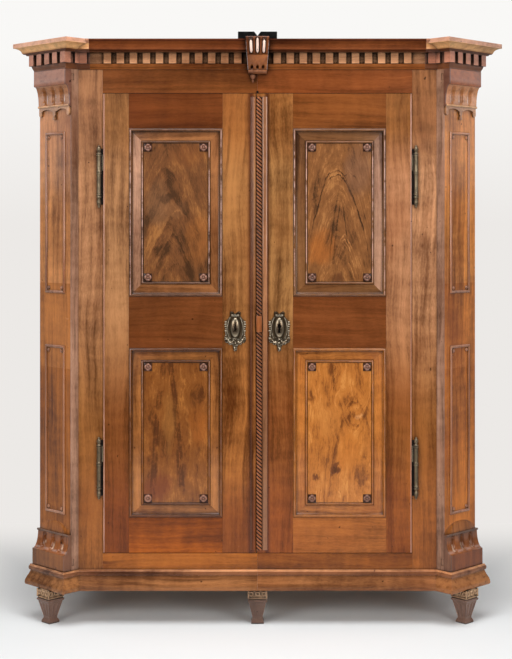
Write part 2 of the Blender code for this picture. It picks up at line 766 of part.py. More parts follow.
def make_keystone():
    """Tapering keystone with three flutes, in front of the joint of the cornice."""
    rise = KEY_TOP - KEY_FOOT
    section = [(KEY_REACH * reach, KEY_FOOT + rise * height) for height, reach in KEY_SHARES]
    neck = FRIEZE_TOP + SEAT
    section += [(SEAT, KEY_TOP), (SEAT, KEY_FOOT)]
    rings = [
        [(side * key_half(height), fore(reach), height) for reach, height in section]
        for side in (-1, 1)
    ]
    stone = part("keystone", loft(rings), CAP_WOOD)
    tongue = (
        (OVERRUN, neck), (OVERRUN, CORNICE_TOP), (-CORNICE_WALL, CORNICE_TOP), (-CORNICE_WALL, neck),
    )
    tail = [
        [(side * key_half(height), fore(reach), height) for reach, height in tongue]
        for side in (-KEY_TAIL_SHARE, KEY_TAIL_SHARE)
    ]
    combine(stone, loft(tail), "UNION")
    front = fore(KEY_REACH + KEY_FLUTE_RADIUS / 2)
    for step in (-1, 0, 1):
        centre = KEY_FLUTE_SPACING * step
        heights = spaced(KEY_FLUTE_FOOT, KEY_FLUTE_TOP, KEY_FLUTE_STEPS + 1)
        path = [(centre, front, height) for height in heights]
        combine(stone, rounded_rod(path, KEY_FLUTE_RADIUS, KEY_FLUTE_SIDES), "DIFFERENCE")


def make_tie():
    """Iron tie with a notch, on the two halves of the cornice."""
    foot = CORNICE_TOP + SEAT
    head = foot + TIE_HEIGHT
    outline = [
        (-TIE_HALF, foot), (TIE_HALF, foot), (TIE_HALF, head), (TIE_NOTCH_HALF, head),
        (0, head - TIE_NOTCH_DEPTH), (-TIE_NOTCH_HALF, head), (-TIE_HALF, head),
    ]
    back = FRONT_Y + TIE_SETBACK + TIE_THICK
    part("tie_iron", extruded(outline, -back, TIE_THICK - back, FACE), IRON)


def make_plinth():
    """Plinth moulding with its flared foot, mitred round the base blocks and the sides."""
    height = PLINTH_TOP - FOOT_HEIGHT
    levels = []
    for rise, share in PLINTH_SHARES:
        reach = PLINTH_REACH * share
        levels.append((FOOT_HEIGHT + height * rise, (reach, reach, BASE_BLOCK_REACH + reach, reach, reach)))
    seat = (SEAT,) * 5
    levels += [(PLINTH_TOP, seat), (FOOT_HEIGHT, seat)]
    plinth = part("plinth_left", mitred_run(case_path(SEAT / 2), levels), RAIL_WOOD)
    mirrored(plinth, "plinth_right")


def return_squares(height):
    """Cutters of the sunk squares on both returns of a corner, over the seam of block and board."""
    half = RETURN_SQUARE / 2
    squares = []
    for edge in (-CORNER_WIDTH / 2, CORNER_WIDTH / 2):
        low = (edge - RETURN_SQUARE_DEPTH, -half, height - half)
        high = (edge + RETURN_SQUARE_DEPTH, half, height + half)
        squares.append(block(low, high))
    return gathered(squares)


def make_corner_posts():
    """Canted corner boards, each with two beaded panels."""
    half = CORNER_WIDTH / 2
    shape = block((-half, 0, FOOT_HEIGHT), (half, CORNER_THICK, FRIEZE_TOP))
    beads = []
    for foot, head in CORNER_PANEL_SPANS:
        bead = bead_frame(
            2 * CORNER_PANEL_HALF, head - foot, CORNER_BEAD_WIDTH, CORNER_BEAD_RISE, CORNER_THICK / 2)
        bead.transform(Matrix.Translation((0, 0, (foot + head) / 2)))
        beads.append(bead)
    post = part("pilaster_left", shape, CASE_WOOD, frame=corner_frame())
    for bead in beads:
        combine(post, bead, "UNION")
    for height in (FRIEZE_SQUARE, BASE_SQUARE):
        combine(post, return_squares(height), "DIFFERENCE")
    mirrored(post, "pilaster_right")


def flare(foot, head, foot_reach, head_reach, steps):
    """Quarter-hollow section from one reach to another, its narrow end upright."""
    points = []
    for step in range(steps + 1):
        turn = math.pi / 2 * step / steps
        wide = foot_reach > head_reach
        sweep = (1 - math.sin(turn)) if wide else (1 - math.cos(turn))
        travel = (1 - math.cos(turn)) if wide else math.sin(turn)
        small = min(foot_reach, head_reach)
        points.append((small + abs(foot_reach - head_reach) * sweep, foot + (head - foot) * travel))
    return points


def flutes(curve):
    """Three round-ended cutters that follow a hollow section in the frame of a corner."""
    lift = FLUTE_RADIUS - FLUTE_DEPTH
    rods = []
    for step in (-1, 0, 1):
        path = [(FLUTE_SPACING * step, -reach - lift, height) for reach, height in curve]
        rods.append(rounded_rod(path, FLUTE_RADIUS, FLUTE_SIDES))
    return rods


def arch(left, right, foot, rise, steps):
    """Points of a low arch, from left to right."""
    return [
        (left + (right - left) * step / steps, foot + rise * math.sin(math.pi * step / steps))
        for step in range(steps + 1)
    ]


def make_capitals():
    """Frieze block, fluted hollow console, bead and arched apron on each canted corner."""
    half = CORNER_WIDTH / 2
    neck = CAPITAL_NECK_REACH
    head = CAPITAL_HEAD_REACH
    hollow = flare(CAPITAL_FOOT, FRIEZE_BLOCK_FOOT, neck, head, FLARE_STEPS)
    bead_foot = CAPITAL_FOOT - BEAD_HEIGHT
    section = [(SEAT, bead_foot), (BEAD_REACH * BEAD_SHOULDER_SHARE, bead_foot)]
    section += [(BEAD_REACH, bead_foot + BEAD_HEIGHT * BEAD_CROWN_SHARE)]
    section += [(BEAD_REACH, CAPITAL_FOOT - BEAD_HEIGHT * BEAD_CROWN_SHARE)]
    section += hollow
    section += [(FRIEZE_BLOCK_REACH, FRIEZE_BLOCK_FOOT), (FRIEZE_BLOCK_REACH, FRIEZE_TOP), (SEAT, FRIEZE_TOP)]
    shape = extruded([(-reach, height) for reach, height in section], -half, half, SECTION)
    capital = part("capital_left", shape, CASE_WOOD, frame=corner_frame())
    top = bead_foot + BEAD_HEIGHT / 2
    low = bead_foot - APRON_HEIGHT
    springing = bead_foot - APRON_SIDE_DROP / 2
    side = half - APRON_DROP_HALF
    drop = APRON_DROP_HALF
    outline = [(-side - drop / 2, top), (-side - drop / 2, springing), (-side, bead_foot - APRON_SIDE_DROP)]
    outline += arch(-side + drop, -drop, springing, APRON_ARCH_RISE, ARCH_STEPS)
    outline += [(-drop / 2, springing - drop), (-drop, low + drop), (-drop, low)]
    outline += [(-across, height) for across, height in reversed(outline)]
    combine(capital, extruded(outline, SEAT, APRON_REACH, FACE), "UNION")
    margin = FLUTE_MARGIN
    curve = flare(CAPITAL_FOOT + margin, FRIEZE_BLOCK_FOOT - margin, neck, head, FLUTE_STEPS)
    for rod in flutes(curve):
        combine(capital, rod, "DIFFERENCE")
    combine(capital, return_squares(FRIEZE_SQUARE), "DIFFERENCE")
    mirrored(capital, "capital_right")


def make_base_consoles():
    """Base block, fluted flaring console, ledge and weathering on each canted corner."""
    half = CORNER_WIDTH / 2
    foot = BASE_BLOCK_TOP
    head = BASE_CONSOLE_TOP
    hollow = flare(foot, head, BASE_CONSOLE_REACH, BASE_NECK_REACH, FLARE_STEPS)
    ledge_top = BASE_CONSOLE_TOP + BASE_LEDGE
    seat = PLINTH_TOP + SEAT
    section = [(SEAT, seat), (BASE_BLOCK_REACH, seat), (BASE_BLOCK_REACH, foot)]
    section += hollow
    section += [(BASE_LEDGE_REACH, head), (BASE_LEDGE_REACH, ledge_top), (SEAT, ledge_top)]
    shape = extruded([(-reach, height) for reach, height in section], -half, half, SECTION)
    console = part("base_console_left", shape, CASE_WOOD, frame=corner_frame())
    rings = []
    start = ledge_top - BASE_LEDGE / 2
    for rise, width, reach in HILL_SHARES:
        across = half * width * HILL_INSET_SHARE
        out = -max(BASE_LEDGE_REACH * reach * HILL_INSET_SHARE, SEAT * 2)
        height = start + HILL_HEIGHT * rise
        rings.append([
            (-across, -SEAT, height), (across, -SEAT, height), (across, out, height), (-across, out, height),
        ])
    combine(console, loft(rings), "UNION")
    margin = FLUTE_MARGIN
    curve = flare(foot + margin, head - margin, BASE_CONSOLE_REACH, BASE_NECK_REACH, FLUTE_STEPS)
    for rod in flutes(curve):
        combine(console, rod, "DIFFERENCE")
    combine(console, return_squares(BASE_SQUARE), "DIFFERENCE")
    mirrored(console, "base_console_right")


def foot_shape(turn):
    """Square tapered foot with a block, a collar and a flared toe, turned about its own axis."""
    top = FOOT_HEIGHT - SEAT
    profile = [(0, top)]
    profile += [(FOOT_HALF * half / ROOT_HALF, top * height) for height, half in reversed(FOOT_SHARES)]
    profile += [(0, 0)]
    shape = turned(profile, FOOT_SIDES)
    shape.transform(Matrix.Rotation(turn, 4, "Z"))
    return shape


def make_feet():
    """Corner feet set square to the cants, and plain-set feet at the centre and the back."""
    corner = foot_shape(math.pi / 4)
    corner.transform(corner_frame() @ Matrix.Translation((0, -FOOT_INSET, 0)))
    foot = part("foot_front_left", corner, FOOT_WOOD)
    mirrored(foot, "foot_front_right")
    across = CASE_HALF - BACK_FOOT_INSET
    back = fore(BACK_FOOT_INSET - CASE_DEPTH)
    places = {
        "foot_front_centre": (0, fore(-CENTRE_FOOT_SETBACK)),
        "foot_back_left": (-across, back),
        "foot_back_centre": (0, back),
        "foot_back_right": (across, back),
    }
    for name, place in places.items():
        shape = foot_shape(math.pi / 4)
        shape.transform(Matrix.Translation((*place, 0)))
        part(name, shape, FOOT_WOOD)


def grooved_stile(outer, inner):
    """Upright of a leaf in plan, with a groove for the panels on its inner edge."""
    toward = math.copysign(GROOVE_DEPTH, outer - inner)
    groove = GROOVE_REACH - GROOVE_WIDTH
    return [
        (outer, fore(0)), (outer, fore(-DOOR_THICK)), (inner, fore(-DOOR_THICK)), (inner, fore(groove)),
        (inner + toward, fore(groove)), (inner + toward, fore(GROOVE_REACH)), (inner, fore(GROOVE_REACH)),
        (inner, fore(0)),
    ]


def grooved_rail(foot, head, below, above):
    """Rail of a leaf in section, with a groove along its foot, its head or both."""
    groove = fore(GROOVE_REACH - GROOVE_WIDTH)
    front = fore(GROOVE_REACH)
    outline = [(fore(0), foot)]
    if below:
        floor = foot + GROOVE_DEPTH
        outline += [(front, foot), (front, floor), (groove, floor), (groove, foot)]
    outline += [(fore(-DOOR_THICK), foot), (fore(-DOOR_THICK), head)]
    if above:
        floor = head - GROOVE_DEPTH
        outline += [(groove, head), (groove, floor), (front, floor), (front, head)]
    outline += [(fore(0), head)]
    return outline


def rosette(place):
    """Petalled button on a panel, its rim scalloped in equal petals."""
    rings = []
    for radius, rise in ROSETTE_SHARES:
        ring = []
        for index in range(2 * ROSETTE_PETALS):
            turn = math.pi * index / ROSETTE_PETALS
            reach = ROSETTE_RADIUS * radius * (1 if index % 2 else ROSETTE_NOTCH_SHARE)
            ring.append((reach * math.cos(turn), -ROSETTE_RISE * rise, reach * math.sin(turn)))
        rings.append(ring)
    shape = loft(rings)
    shape.transform(Matrix.Translation(place))
    return shape


def panel_steps():
    """Insets and reaches of a door panel, from its back to its field."""
    flat = PANEL_FLAT_REACH
    tongue = GROOVE_REACH - SEAT
    steps = [(-TONGUE_LENGTH, GROOVE_REACH - GROOVE_WIDTH + SEAT), (-TONGUE_LENGTH, tongue), (SEAT, tongue)]
    steps.append((SEAT, PANEL_PROUD / 2))
    for width, rise in PANEL_MOULD_SHARES:
        steps.append((PANEL_MOULD_WIDTH * width, flat + (PANEL_PROUD - flat) * rise))
    steps += [(PANEL_MOULD_WIDTH, flat), (PANEL_FIELD_INSET, flat + PANEL_SLOPE)]
    steps.append((PANEL_FIELD_INSET + SEAT, PANEL_FIELD_REACH + PANEL_FIELD_RISE / 2))
    for width, rise in PANEL_FIELD_SHARES:
        inset = PANEL_FIELD_INSET + PANEL_FIELD_MOULD * width
        steps.append((inset, PANEL_FIELD_REACH + PANEL_FIELD_RISE * rise))
    steps.append((PANEL_FIELD_INSET + PANEL_FIELD_MOULD, PANEL_FIELD_REACH))
    return steps


def make_panel(name, left, right, foot, head):
    """Fielded panel in its grooves, with a moulding at the frame, a raised field and four rosettes."""
    shape = loft(nested(right - left, head - foot, panel_steps()))
    centre = Vector(((left + right) / 2, fore(0), (foot + head) / 2))
    shape.transform(Matrix.Translation(centre))
    panel = part(name, shape, PANEL_WOOD)
    across = (right - left) / 2 - ROSETTE_INSET
    rise = (head - foot) / 2 - ROSETTE_INSET
    flowers = [
        rosette(centre + Vector((side * across, -PANEL_FIELD_REACH, end * rise)))
        for side in (-1, 1) for end in (-1, 1)
    ]
    combine(panel, gathered(flowers), "UNION")


def make_leaf(side, hinge_edge, meeting_edge, meeting_stile):
    """One door leaf: two stiles, three rails and two panels."""
    inward = math.copysign(1, meeting_edge - hinge_edge)
    hinge_inner = hinge_edge + inward * HINGE_STILE
    meeting_inner = meeting_edge - inward * meeting_stile
    stiles = {}
    edges = {"hinge_stile": (hinge_edge, hinge_inner), "meeting_stile": (meeting_edge, meeting_inner)}
    for name, (outer, inner) in edges.items():
        shape = extruded(grooved_stile(outer, inner), DOOR_FOOT, DOOR_HEAD)
        stiles[name] = part(f"door_{side}_{name}", shape, RAIL_WOOD)
    left = min(hinge_inner, meeting_inner)
    right = max(hinge_inner, meeting_inner)
    rails = (
        ("bottom_rail", DOOR_FOOT, DOOR_FOOT + BOTTOM_RAIL, False, True),
        ("lock_rail", LOCK_RAIL_FOOT, LOCK_RAIL_HEAD, True, True),
        ("top_rail", DOOR_HEAD - TOP_RAIL, DOOR_HEAD, True, False),
    )
    for name, foot, head, below, above in rails:
        outline = grooved_rail(foot, head, below, above)
        part(f"door_{side}_{name}", extruded(outline, left + SEAT, right - SEAT, SECTION), RAIL_WOOD)
    make_panel(f"door_{side}_lower_panel", left, right, DOOR_FOOT + BOTTOM_RAIL, LOCK_RAIL_FOOT)
    make_panel(f"door_{side}_upper_panel", left, right, LOCK_RAIL_HEAD, DOOR_HEAD - TOP_RAIL)
    return stiles


def half_round(left, right, base, reach, steps):
    """Plan of the crown of a bead, from its right edge to its left."""
    centre = (left + right) / 2
    half = (right - left) / 2
    turns = [math.pi * step / steps for step in range(steps + 1)]
    return [(centre + half * math.cos(turn), fore(base + (reach - base) * math.sin(turn))) for turn in turns]


def make_meeting_strips(left_stile):
    """Bead on the left leaf; rope ground, centre block and bead on the right leaf."""
    left = LEFT_LEAF_EDGE - FILLET_WIDTH
    bead = [(LEFT_LEAF_EDGE, fore(-OVERRUN))]
    bead += half_round(left, LEFT_LEAF_EDGE, 0, FILLET_REACH, FILLET_STEPS)
    bead += [(left, fore(-OVERRUN))]
    combine(left_stile, extruded(bead, STRIP_FOOT, STRIP_TOP), "UNION")
    rope_end = RIGHT_LEAF_EDGE + ROPE_WIDTH
    fillet_end = rope_end + FILLET_WIDTH
    outline = [(fillet_end, fore(SEAT))]
    outline += half_round(rope_end, fillet_end, STRIP_GROUND, FILLET_REACH, FILLET_STEPS)[:-1]
    outline += [(rope_end, fore(STRIP_VALLEY))]
    outline += half_round(RIGHT_LEAF_EDGE, rope_end, STRIP_GROUND, ROPE_REACH, ROPE_STEPS)[1:]
    outline += [(RIGHT_LEAF_EDGE, fore(SEAT))]
    strip = part("meeting_strip", extruded(outline, STRIP_FOOT, STRIP_TOP), RAIL_WOOD)
    low = (RIGHT_LEAF_EDGE + STRIP_BLOCK_INSET, fore(STRIP_BLOCK_REACH), STRIP_BLOCK_FOOT)
    high = (rope_end - STRIP_BLOCK_INSET, fore(STRIP_GROUND / 2), STRIP_BLOCK_TOP)
    combine(strip, block(low, high), "UNION")


def make_escutcheon(name, centre, pierced):
    """Metal plate with a scalloped edge and a domed oval, pierced by the keyhole or blind."""
    right = [(PLATE_HALF * across, KEYHOLE - PLATE_DROP + PLATE_HEIGHT * rise) for across, rise in PLATE_SHARES]
    left = [(-across, height) for across, height in reversed(right[1:-1])]
    outline = [(centre + across, height) for across, height in right + left]
    shape = extruded(outline, SEAT - FRONT_Y, SEAT + PLATE_THICK - FRONT_Y, FACE)
    plate = part(name, shape, BRASS, SMOOTH_ANGLE)
    dome = bmesh.new()
    size = Matrix.Diagonal((DOME_HALF_WIDTH, DOME_REACH, DOME_HALF_HEIGHT, 1))
    bmesh.ops.create_uvsphere(dome, u_segments=DOME_SEGMENTS, v_segments=DOME_RINGS, radius=1, matrix=size)
    flat = Vector((0, -SEAT - PLATE_THICK / 2, 0))
    faces = dome.verts[:] + dome.edges[:] + dome.faces[:]
    cut = bmesh.ops.bisect_plane(dome, geom=faces, plane_co=flat, plane_no=(0, 1, 0), clear_outer=True)
    rim = [edge for edge in cut["geom_cut"] if isinstance(edge, bmesh.types.BMEdge)]
    bmesh.ops.contextual_create(dome, geom=rim)
    bmesh.ops.recalc_face_normals(dome, faces=dome.faces)
    dome.transform(Matrix.Translation((centre, fore(0), KEYHOLE)))
    combine(plate, dome, "UNION")
    if pierced:
        combine(plate, keyhole(centre, DOME_REACH + OVERRUN, -OVERRUN), "DIFFERENCE")


def keyhole(centre, front, back):
    """Cutter of the keyhole, a round eye over a narrow slot, between two reaches."""
    eye = [
        (centre + KEYHOLE_RADIUS * math.cos(turn), KEYHOLE + KEYHOLE_RADIUS * math.sin(turn))
        for turn in (math.radians(angle) for angle in KEYHOLE_EYE_ANGLES)
    ]
    slot = KEYHOLE_RADIUS / 2
    outline = eye + [(centre - slot, KEYHOLE - KEYHOLE_SLOT), (centre + slot, KEYHOLE - KEYHOLE_SLOT)]
    return extruded(outline, back - FRONT_Y, front - FRONT_Y, FACE)


def barrel_profile(length, bored):
    """Turned section of a hinge barrel, its joint at zero: bored for the pin, or carrying it."""
    outer = [(BARREL_RADIUS * radius, length * rise) for rise, radius in BARREL_SHARES]
    if bored:
        bore = PIN_RADIUS + PIN_PLAY
        return outer[::-1] + [(bore, 0), (bore, PIN_LENGTH + PIN_PLAY), (0, PIN_LENGTH + PIN_PLAY)]
    pin = [(0, PIN_LENGTH), (PIN_RADIUS, PIN_LENGTH), (PIN_RADIUS, 0)]
    return pin + [(radius, -rise) for radius, rise in outer]


def make_barrel(name, axis, start, length, away, bored):
    """One half of a hinge: a turned barrel above or below its joint, and the leaf at its side."""
    shape = turned(barrel_profile(length, bored), HINGE_TURNS)
    shape.transform(Matrix.Translation((axis, fore(AXIS_REACH), start)))
    barrel = part(name, shape, BRASS, SMOOTH_ANGLE)
    left, right = sorted((axis, axis + away * (AXIS_HALF - DOOR_EDGE + LEAF_OVERLAP)))
    middle = start + length * LEAF_PLACE_SHARE * (1 if bored else -1)
    low = (left, fore(SEAT + LEAF_THICK), middle - LEAF_HEIGHT / 2)
    high = (right, fore(SEAT), middle + LEAF_HEIGHT / 2)
    combine(barrel, block(low, high), "UNION")


def make_hinges():
    """Barrel hinges: the lower barrel and its pin on the case, the upper barrel on the leaf."""
    play = KNUCKLE_PLAY / 2
    case_length = HINGE_LENGTH * HINGE_JOINT_SHARE - play
    leaf_length = HINGE_LENGTH * (1 - HINGE_JOINT_SHARE) - play
    for side, sign in (("left", -1), ("right", 1)):
        axis = sign * AXIS_HALF
        for level, foot in zip(("lower", "upper"), HINGE_FEET):
            name = f"hinge_{side}_{level}"
            joint = foot + HINGE_LENGTH * HINGE_JOINT_SHARE
            make_barrel(name + "_case", axis, joint - play, case_length, sign, False)
            make_barrel(name + "_leaf", axis, joint + play, leaf_length, -sign, True)


def make_lock(left_stile, right_stile):
    """Lock let into the back of the right leaf, its bolt, and the mortise that takes the bolt."""
    left = LOCK_LEFT
    right = LOCK_LEFT + LOCK_WIDTH
    foot = KEYHOLE - LOCK_HEIGHT / 2
    head = KEYHOLE + LOCK_HEIGHT / 2
    face = fore(-DOOR_THICK)
    floor = fore(LOCK_DEPTH - DOOR_THICK)
    low = (left - SEAT, floor - SEAT, foot - SEAT)
    high = (right + SEAT, face + OVERRUN, head + SEAT)
    combine(right_stile, block(low, high), "DIFFERENCE")
    case = part("lock_case", block((left, floor, foot), (right, face, head)), IRON)
    bolt_front = fore(-BOLT_SETBACK + BOLT_THICK / 2)
    bolt_back = fore(-BOLT_SETBACK - BOLT_THICK / 2)
    bolt_foot = KEYHOLE - BOLT_DROP
    bolt_head = bolt_foot + BOLT_HEIGHT
    tip = RIGHT_LEAF_EDGE + BOLT_REST
    tail = tip + BOLT_LENGTH
    play = SLIDE_PLAY
    channel_low = (RIGHT_LEAF_EDGE - OVERRUN, bolt_front - play, bolt_foot - play)
    channel_high = (tail + play, bolt_back + play, bolt_head + play)
    combine(right_stile, block(channel_low, channel_high), "DIFFERENCE")
    combine(case, block(channel_low, channel_high), "DIFFERENCE")
    room = MORTISE_PLAY
    mortise_low = (tip - BOLT_THROW - room, bolt_front - room, bolt_foot - room)
    mortise_high = (LEFT_LEAF_EDGE + OVERRUN, bolt_back + room, bolt_head + room)
    combine(left_stile, block(mortise_low, mortise_high), "DIFFERENCE")
    part("lock_bolt", block((tip, bolt_front, bolt_foot), (tail, bolt_back, bolt_head)), IRON)
    bore = keyhole(PLATE_RIGHT, OVERRUN, LOCK_DEPTH - DOOR_THICK - OVERRUN / 2)
    combine(right_stile, bore, "DIFFERENCE")


def clear_scene():
    """Empty the scene that the file opens with."""
    for item in list(bpy.data.objects):
        bpy.data.objects.remove(item)


clear_scene()
PARTS = collection("wardrobe")
CUTTERS = collection("cutters")

CASE_WOOD = finish("walnut_golden", (0.30, 0.15, 0.07), 0.40)
RAIL_WOOD = finish("walnut_brown", (0.24, 0.11, 0.06), 0.40)
PANEL_WOOD = finish("walnut_figured", (0.36, 0.17, 0.07), 0.35)
CORNICE_WOOD = finish("walnut_dark", (0.22, 0.10, 0.06), 0.42)
CAP_WOOD = finish("walnut_tan", (0.48, 0.31, 0.19), 0.40)
FOOT_WOOD = finish("walnut_grey", (0.13, 0.09, 0.06), 0.50)
INNER_WOOD = finish("pine_plain", (0.45, 0.31, 0.18), 0.60)
IRON = finish("iron_black", (0.04, 0.04, 0.04), 0.55, 0.8)
BRASS = finish("brass_old", (0.42, 0.38, 0.28), 0.35, 0.9)

make_sides()
make_back()
make_decks()
make_front()
make_cornice_front()
make_cornice_end()
make_keystone()
make_tie()
make_plinth()
make_corner_posts()
make_capitals()
make_base_consoles()
make_feet()
LEFT_STILES = make_leaf("left", -DOOR_EDGE, LEFT_LEAF_EDGE, LEFT_MEETING_STILE)
RIGHT_STILES = make_leaf("right", DOOR_EDGE, RIGHT_LEAF_EDGE, RIGHT_MEETING_STILE)
make_meeting_strips(LEFT_STILES["meeting_stile"])
make_escutcheon("escutcheon_left", PLATE_LEFT, False)
make_escutcheon("escutcheon_right", PLATE_RIGHT, True)
make_hinges()
make_lock(LEFT_STILES["meeting_stile"], RIGHT_STILES["meeting_stile"])
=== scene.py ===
"""Dress of the walnut wardrobe: veneers, carving, metalwork and a plain studio.

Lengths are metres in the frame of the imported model: +X right, +Y to the back, +Z up.
A reach is a distance in front of the faces of the two front stiles.
"""

import json
import logging
import math
from dataclasses import dataclass, replace
from enum import Enum
from functools import partial
from typing import Callable, Iterable, Sequence, Union

import bmesh
import bpy
from mathutils import Matrix, Vector

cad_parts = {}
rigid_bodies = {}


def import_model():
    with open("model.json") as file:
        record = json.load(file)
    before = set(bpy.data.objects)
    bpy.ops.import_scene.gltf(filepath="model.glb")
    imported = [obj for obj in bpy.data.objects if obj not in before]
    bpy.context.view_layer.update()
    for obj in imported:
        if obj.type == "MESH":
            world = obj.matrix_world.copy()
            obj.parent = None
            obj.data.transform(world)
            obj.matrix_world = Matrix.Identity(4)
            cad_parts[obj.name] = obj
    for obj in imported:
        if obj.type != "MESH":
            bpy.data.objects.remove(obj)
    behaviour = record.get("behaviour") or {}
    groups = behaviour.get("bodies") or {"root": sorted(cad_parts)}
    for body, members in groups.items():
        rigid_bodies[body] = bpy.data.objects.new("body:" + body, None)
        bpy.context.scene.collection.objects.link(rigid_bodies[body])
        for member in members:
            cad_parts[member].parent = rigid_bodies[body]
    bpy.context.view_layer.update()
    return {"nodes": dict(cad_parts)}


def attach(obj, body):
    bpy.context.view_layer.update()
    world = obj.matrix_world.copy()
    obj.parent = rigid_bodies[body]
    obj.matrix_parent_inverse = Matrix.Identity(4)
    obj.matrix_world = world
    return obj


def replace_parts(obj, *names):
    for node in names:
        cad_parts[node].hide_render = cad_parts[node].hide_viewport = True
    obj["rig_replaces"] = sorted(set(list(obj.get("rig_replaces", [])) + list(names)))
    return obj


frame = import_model()

LOG = logging.getLogger("wardrobe")
FRONT_Y = -0.2144065
BACK_Y = 0.3155935
CORNER_MIDDLE = (-0.717484, -0.171592)
CORNER_HALF = 0.09165
SEAT = 0.0003
SIDES = (("left", -1), ("right", 1))
BLACK = (0.0, 0.0, 0.0, 1.0)
WHITE = (1.0, 1.0, 1.0, 1.0)

Point = Sequence[float]
Ring = Sequence[Point]
Pairs = list[tuple[float, float]]
Number = Union["Value", float]
Tone = tuple[int, int, int]


def fore(reach: float) -> float:
    """Y of a plane that stands this far in front of the stiles."""
    return FRONT_Y - reach


def smooth_step(low: float, high: float, value: float) -> float:
    """Rise from 0 to 1 between two values, with soft ends."""
    share = min(max((value - low) / (high - low), 0.0), 1.0)
    return share * share * (3 - 2 * share)


def linear(tone: Tone) -> tuple[float, float, float, float]:
    """Linear colour with full alpha of a tone that is given in 0 to 255 as seen."""
    seen = [part / 255 for part in tone]
    return (*(part / 12.92 if part <= 0.04045 else ((part + 0.055) / 1.055) ** 2.4 for part in seen), 1.0)


def shaded(tone: Tone, gain: float, warmth: float = 0.0) -> Tone:
    """Tone made lighter or darker by a gain, and redder by a share that red gains and blue loses."""
    factors = (1 + warmth, 1.0, 1 - warmth)
    return tuple(int(min(255, part * gain * factor)) for part, factor in zip(tone, factors))


def seed_of(name: str) -> float:
    """Number that is the same for a name in every run."""
    return sum((index + 3) * ord(letter) for index, letter in enumerate(name)) % 97 * 0.37


def arc(centre: Point, radius: Point, start: float, end: float, steps: int) -> Pairs:
    """Points of an arc of an ellipse.

    Args:
        centre: the ellipse's centre.
        radius: its two half axes.
        start: first angle in degrees.
        end: last angle in degrees.
        steps: number of spans.

    Returns:
        The points.
    """
    turns = [math.radians(start + (end - start) * step / steps) for step in range(steps + 1)]
    return [(centre[0] + radius[0] * math.cos(turn), centre[1] + radius[1] * math.sin(turn)) for turn in turns]


def circle(radius: float, steps: int) -> Pairs:
    """Points evenly round a circle about the origin."""
    turns = [math.tau * step / steps for step in range(steps)]
    return [(radius * math.cos(turn), radius * math.sin(turn)) for turn in turns]


class Value:
    """Number that varies over a surface: a socket, with arithmetic that adds the nodes."""

    def __init__(self, graph: "Graph", socket: bpy.types.NodeSocket) -> None:
        """Wrap a socket of a graph."""
        self.graph = graph
        self.socket = socket

    def math(self, operation: str, *others: Number, flip: bool = False) -> "Value":
        """Result of one Math node.

        Args:
            operation: name of the Math node's operation.
            others: the values after this one.
            flip: put this value second.

        Returns:
            The node's value.
        """
        terms = [*others, self] if flip else [self, *others]
        return self.graph.value("ShaderNodeMath", {"operation": operation}, dict(enumerate(terms)))

    def __add__(self, other: Number) -> "Value":
        """Sum."""
        return self.math("ADD", other)

    __radd__ = __add__

    def __mul__(self, other: Number) -> "Value":
        """Product."""
        return self.math("MULTIPLY", other)

    __rmul__ = __mul__

    def __sub__(self, other: Number) -> "Value":
        """Difference."""
        return self.math("SUBTRACT", other)

    def __rsub__(self, other: Number) -> "Value":
        """Difference, this value taken from the other."""
        return self.math("SUBTRACT", other, flip=True)

    def __truediv__(self, other: Number) -> "Value":
        """Quotient."""
        return self.math("DIVIDE", other)

    def __pow__(self, other: Number) -> "Value":
        """Power."""
        return self.math("POWER", other)

    def __abs__(self) -> "Value":
        """Size without sign."""
        return self.math("ABSOLUTE")

    def least(self, other: Number) -> "Value":
        """Smaller of two values."""
        return self.math("MINIMUM", other)

    def most(self, other: Number) -> "Value":
        """Larger of two values."""
        return self.math("MAXIMUM", other)

    def above(self, other: Number) -> "Value":
        """1 where this value is the larger, else 0."""
        return self.math("GREATER_THAN", other)

    def ramp(self, low: float, high: float, kind: str = "SMOOTHSTEP") -> "Value":
        """Rise from 0 at one value to 1 at another, which may be the lower one.

        Args:
            low: value at which the rise starts.
            high: value at which it ends.
            kind: how it goes between them.

        Returns:
            The risen share.
        """
        start, end, first, last = (low, high, 0.0, 1.0) if low < high else (high, low, 1.0, 0.0)
        sockets = {0: self, 1: start, 2: end, 3: first, 4: last}
        return self.graph.value("ShaderNodeMapRange", {"interpolation_type": kind}, sockets)

    def window(self, foot: float, head: float, soft: float, soft_head: float | None = None) -> "Value":
        """1 between two values, softly 0 outside them.

        Args:
            foot: value at which the rise starts.
            head: value at which the fall has ended.
            soft: width of the rise.
            soft_head: width of the fall, if it differs.

        Returns:
            The share.
        """
        return self.ramp(foot, foot + soft) * self.ramp(head, head - (soft if soft_head is None else soft_head))


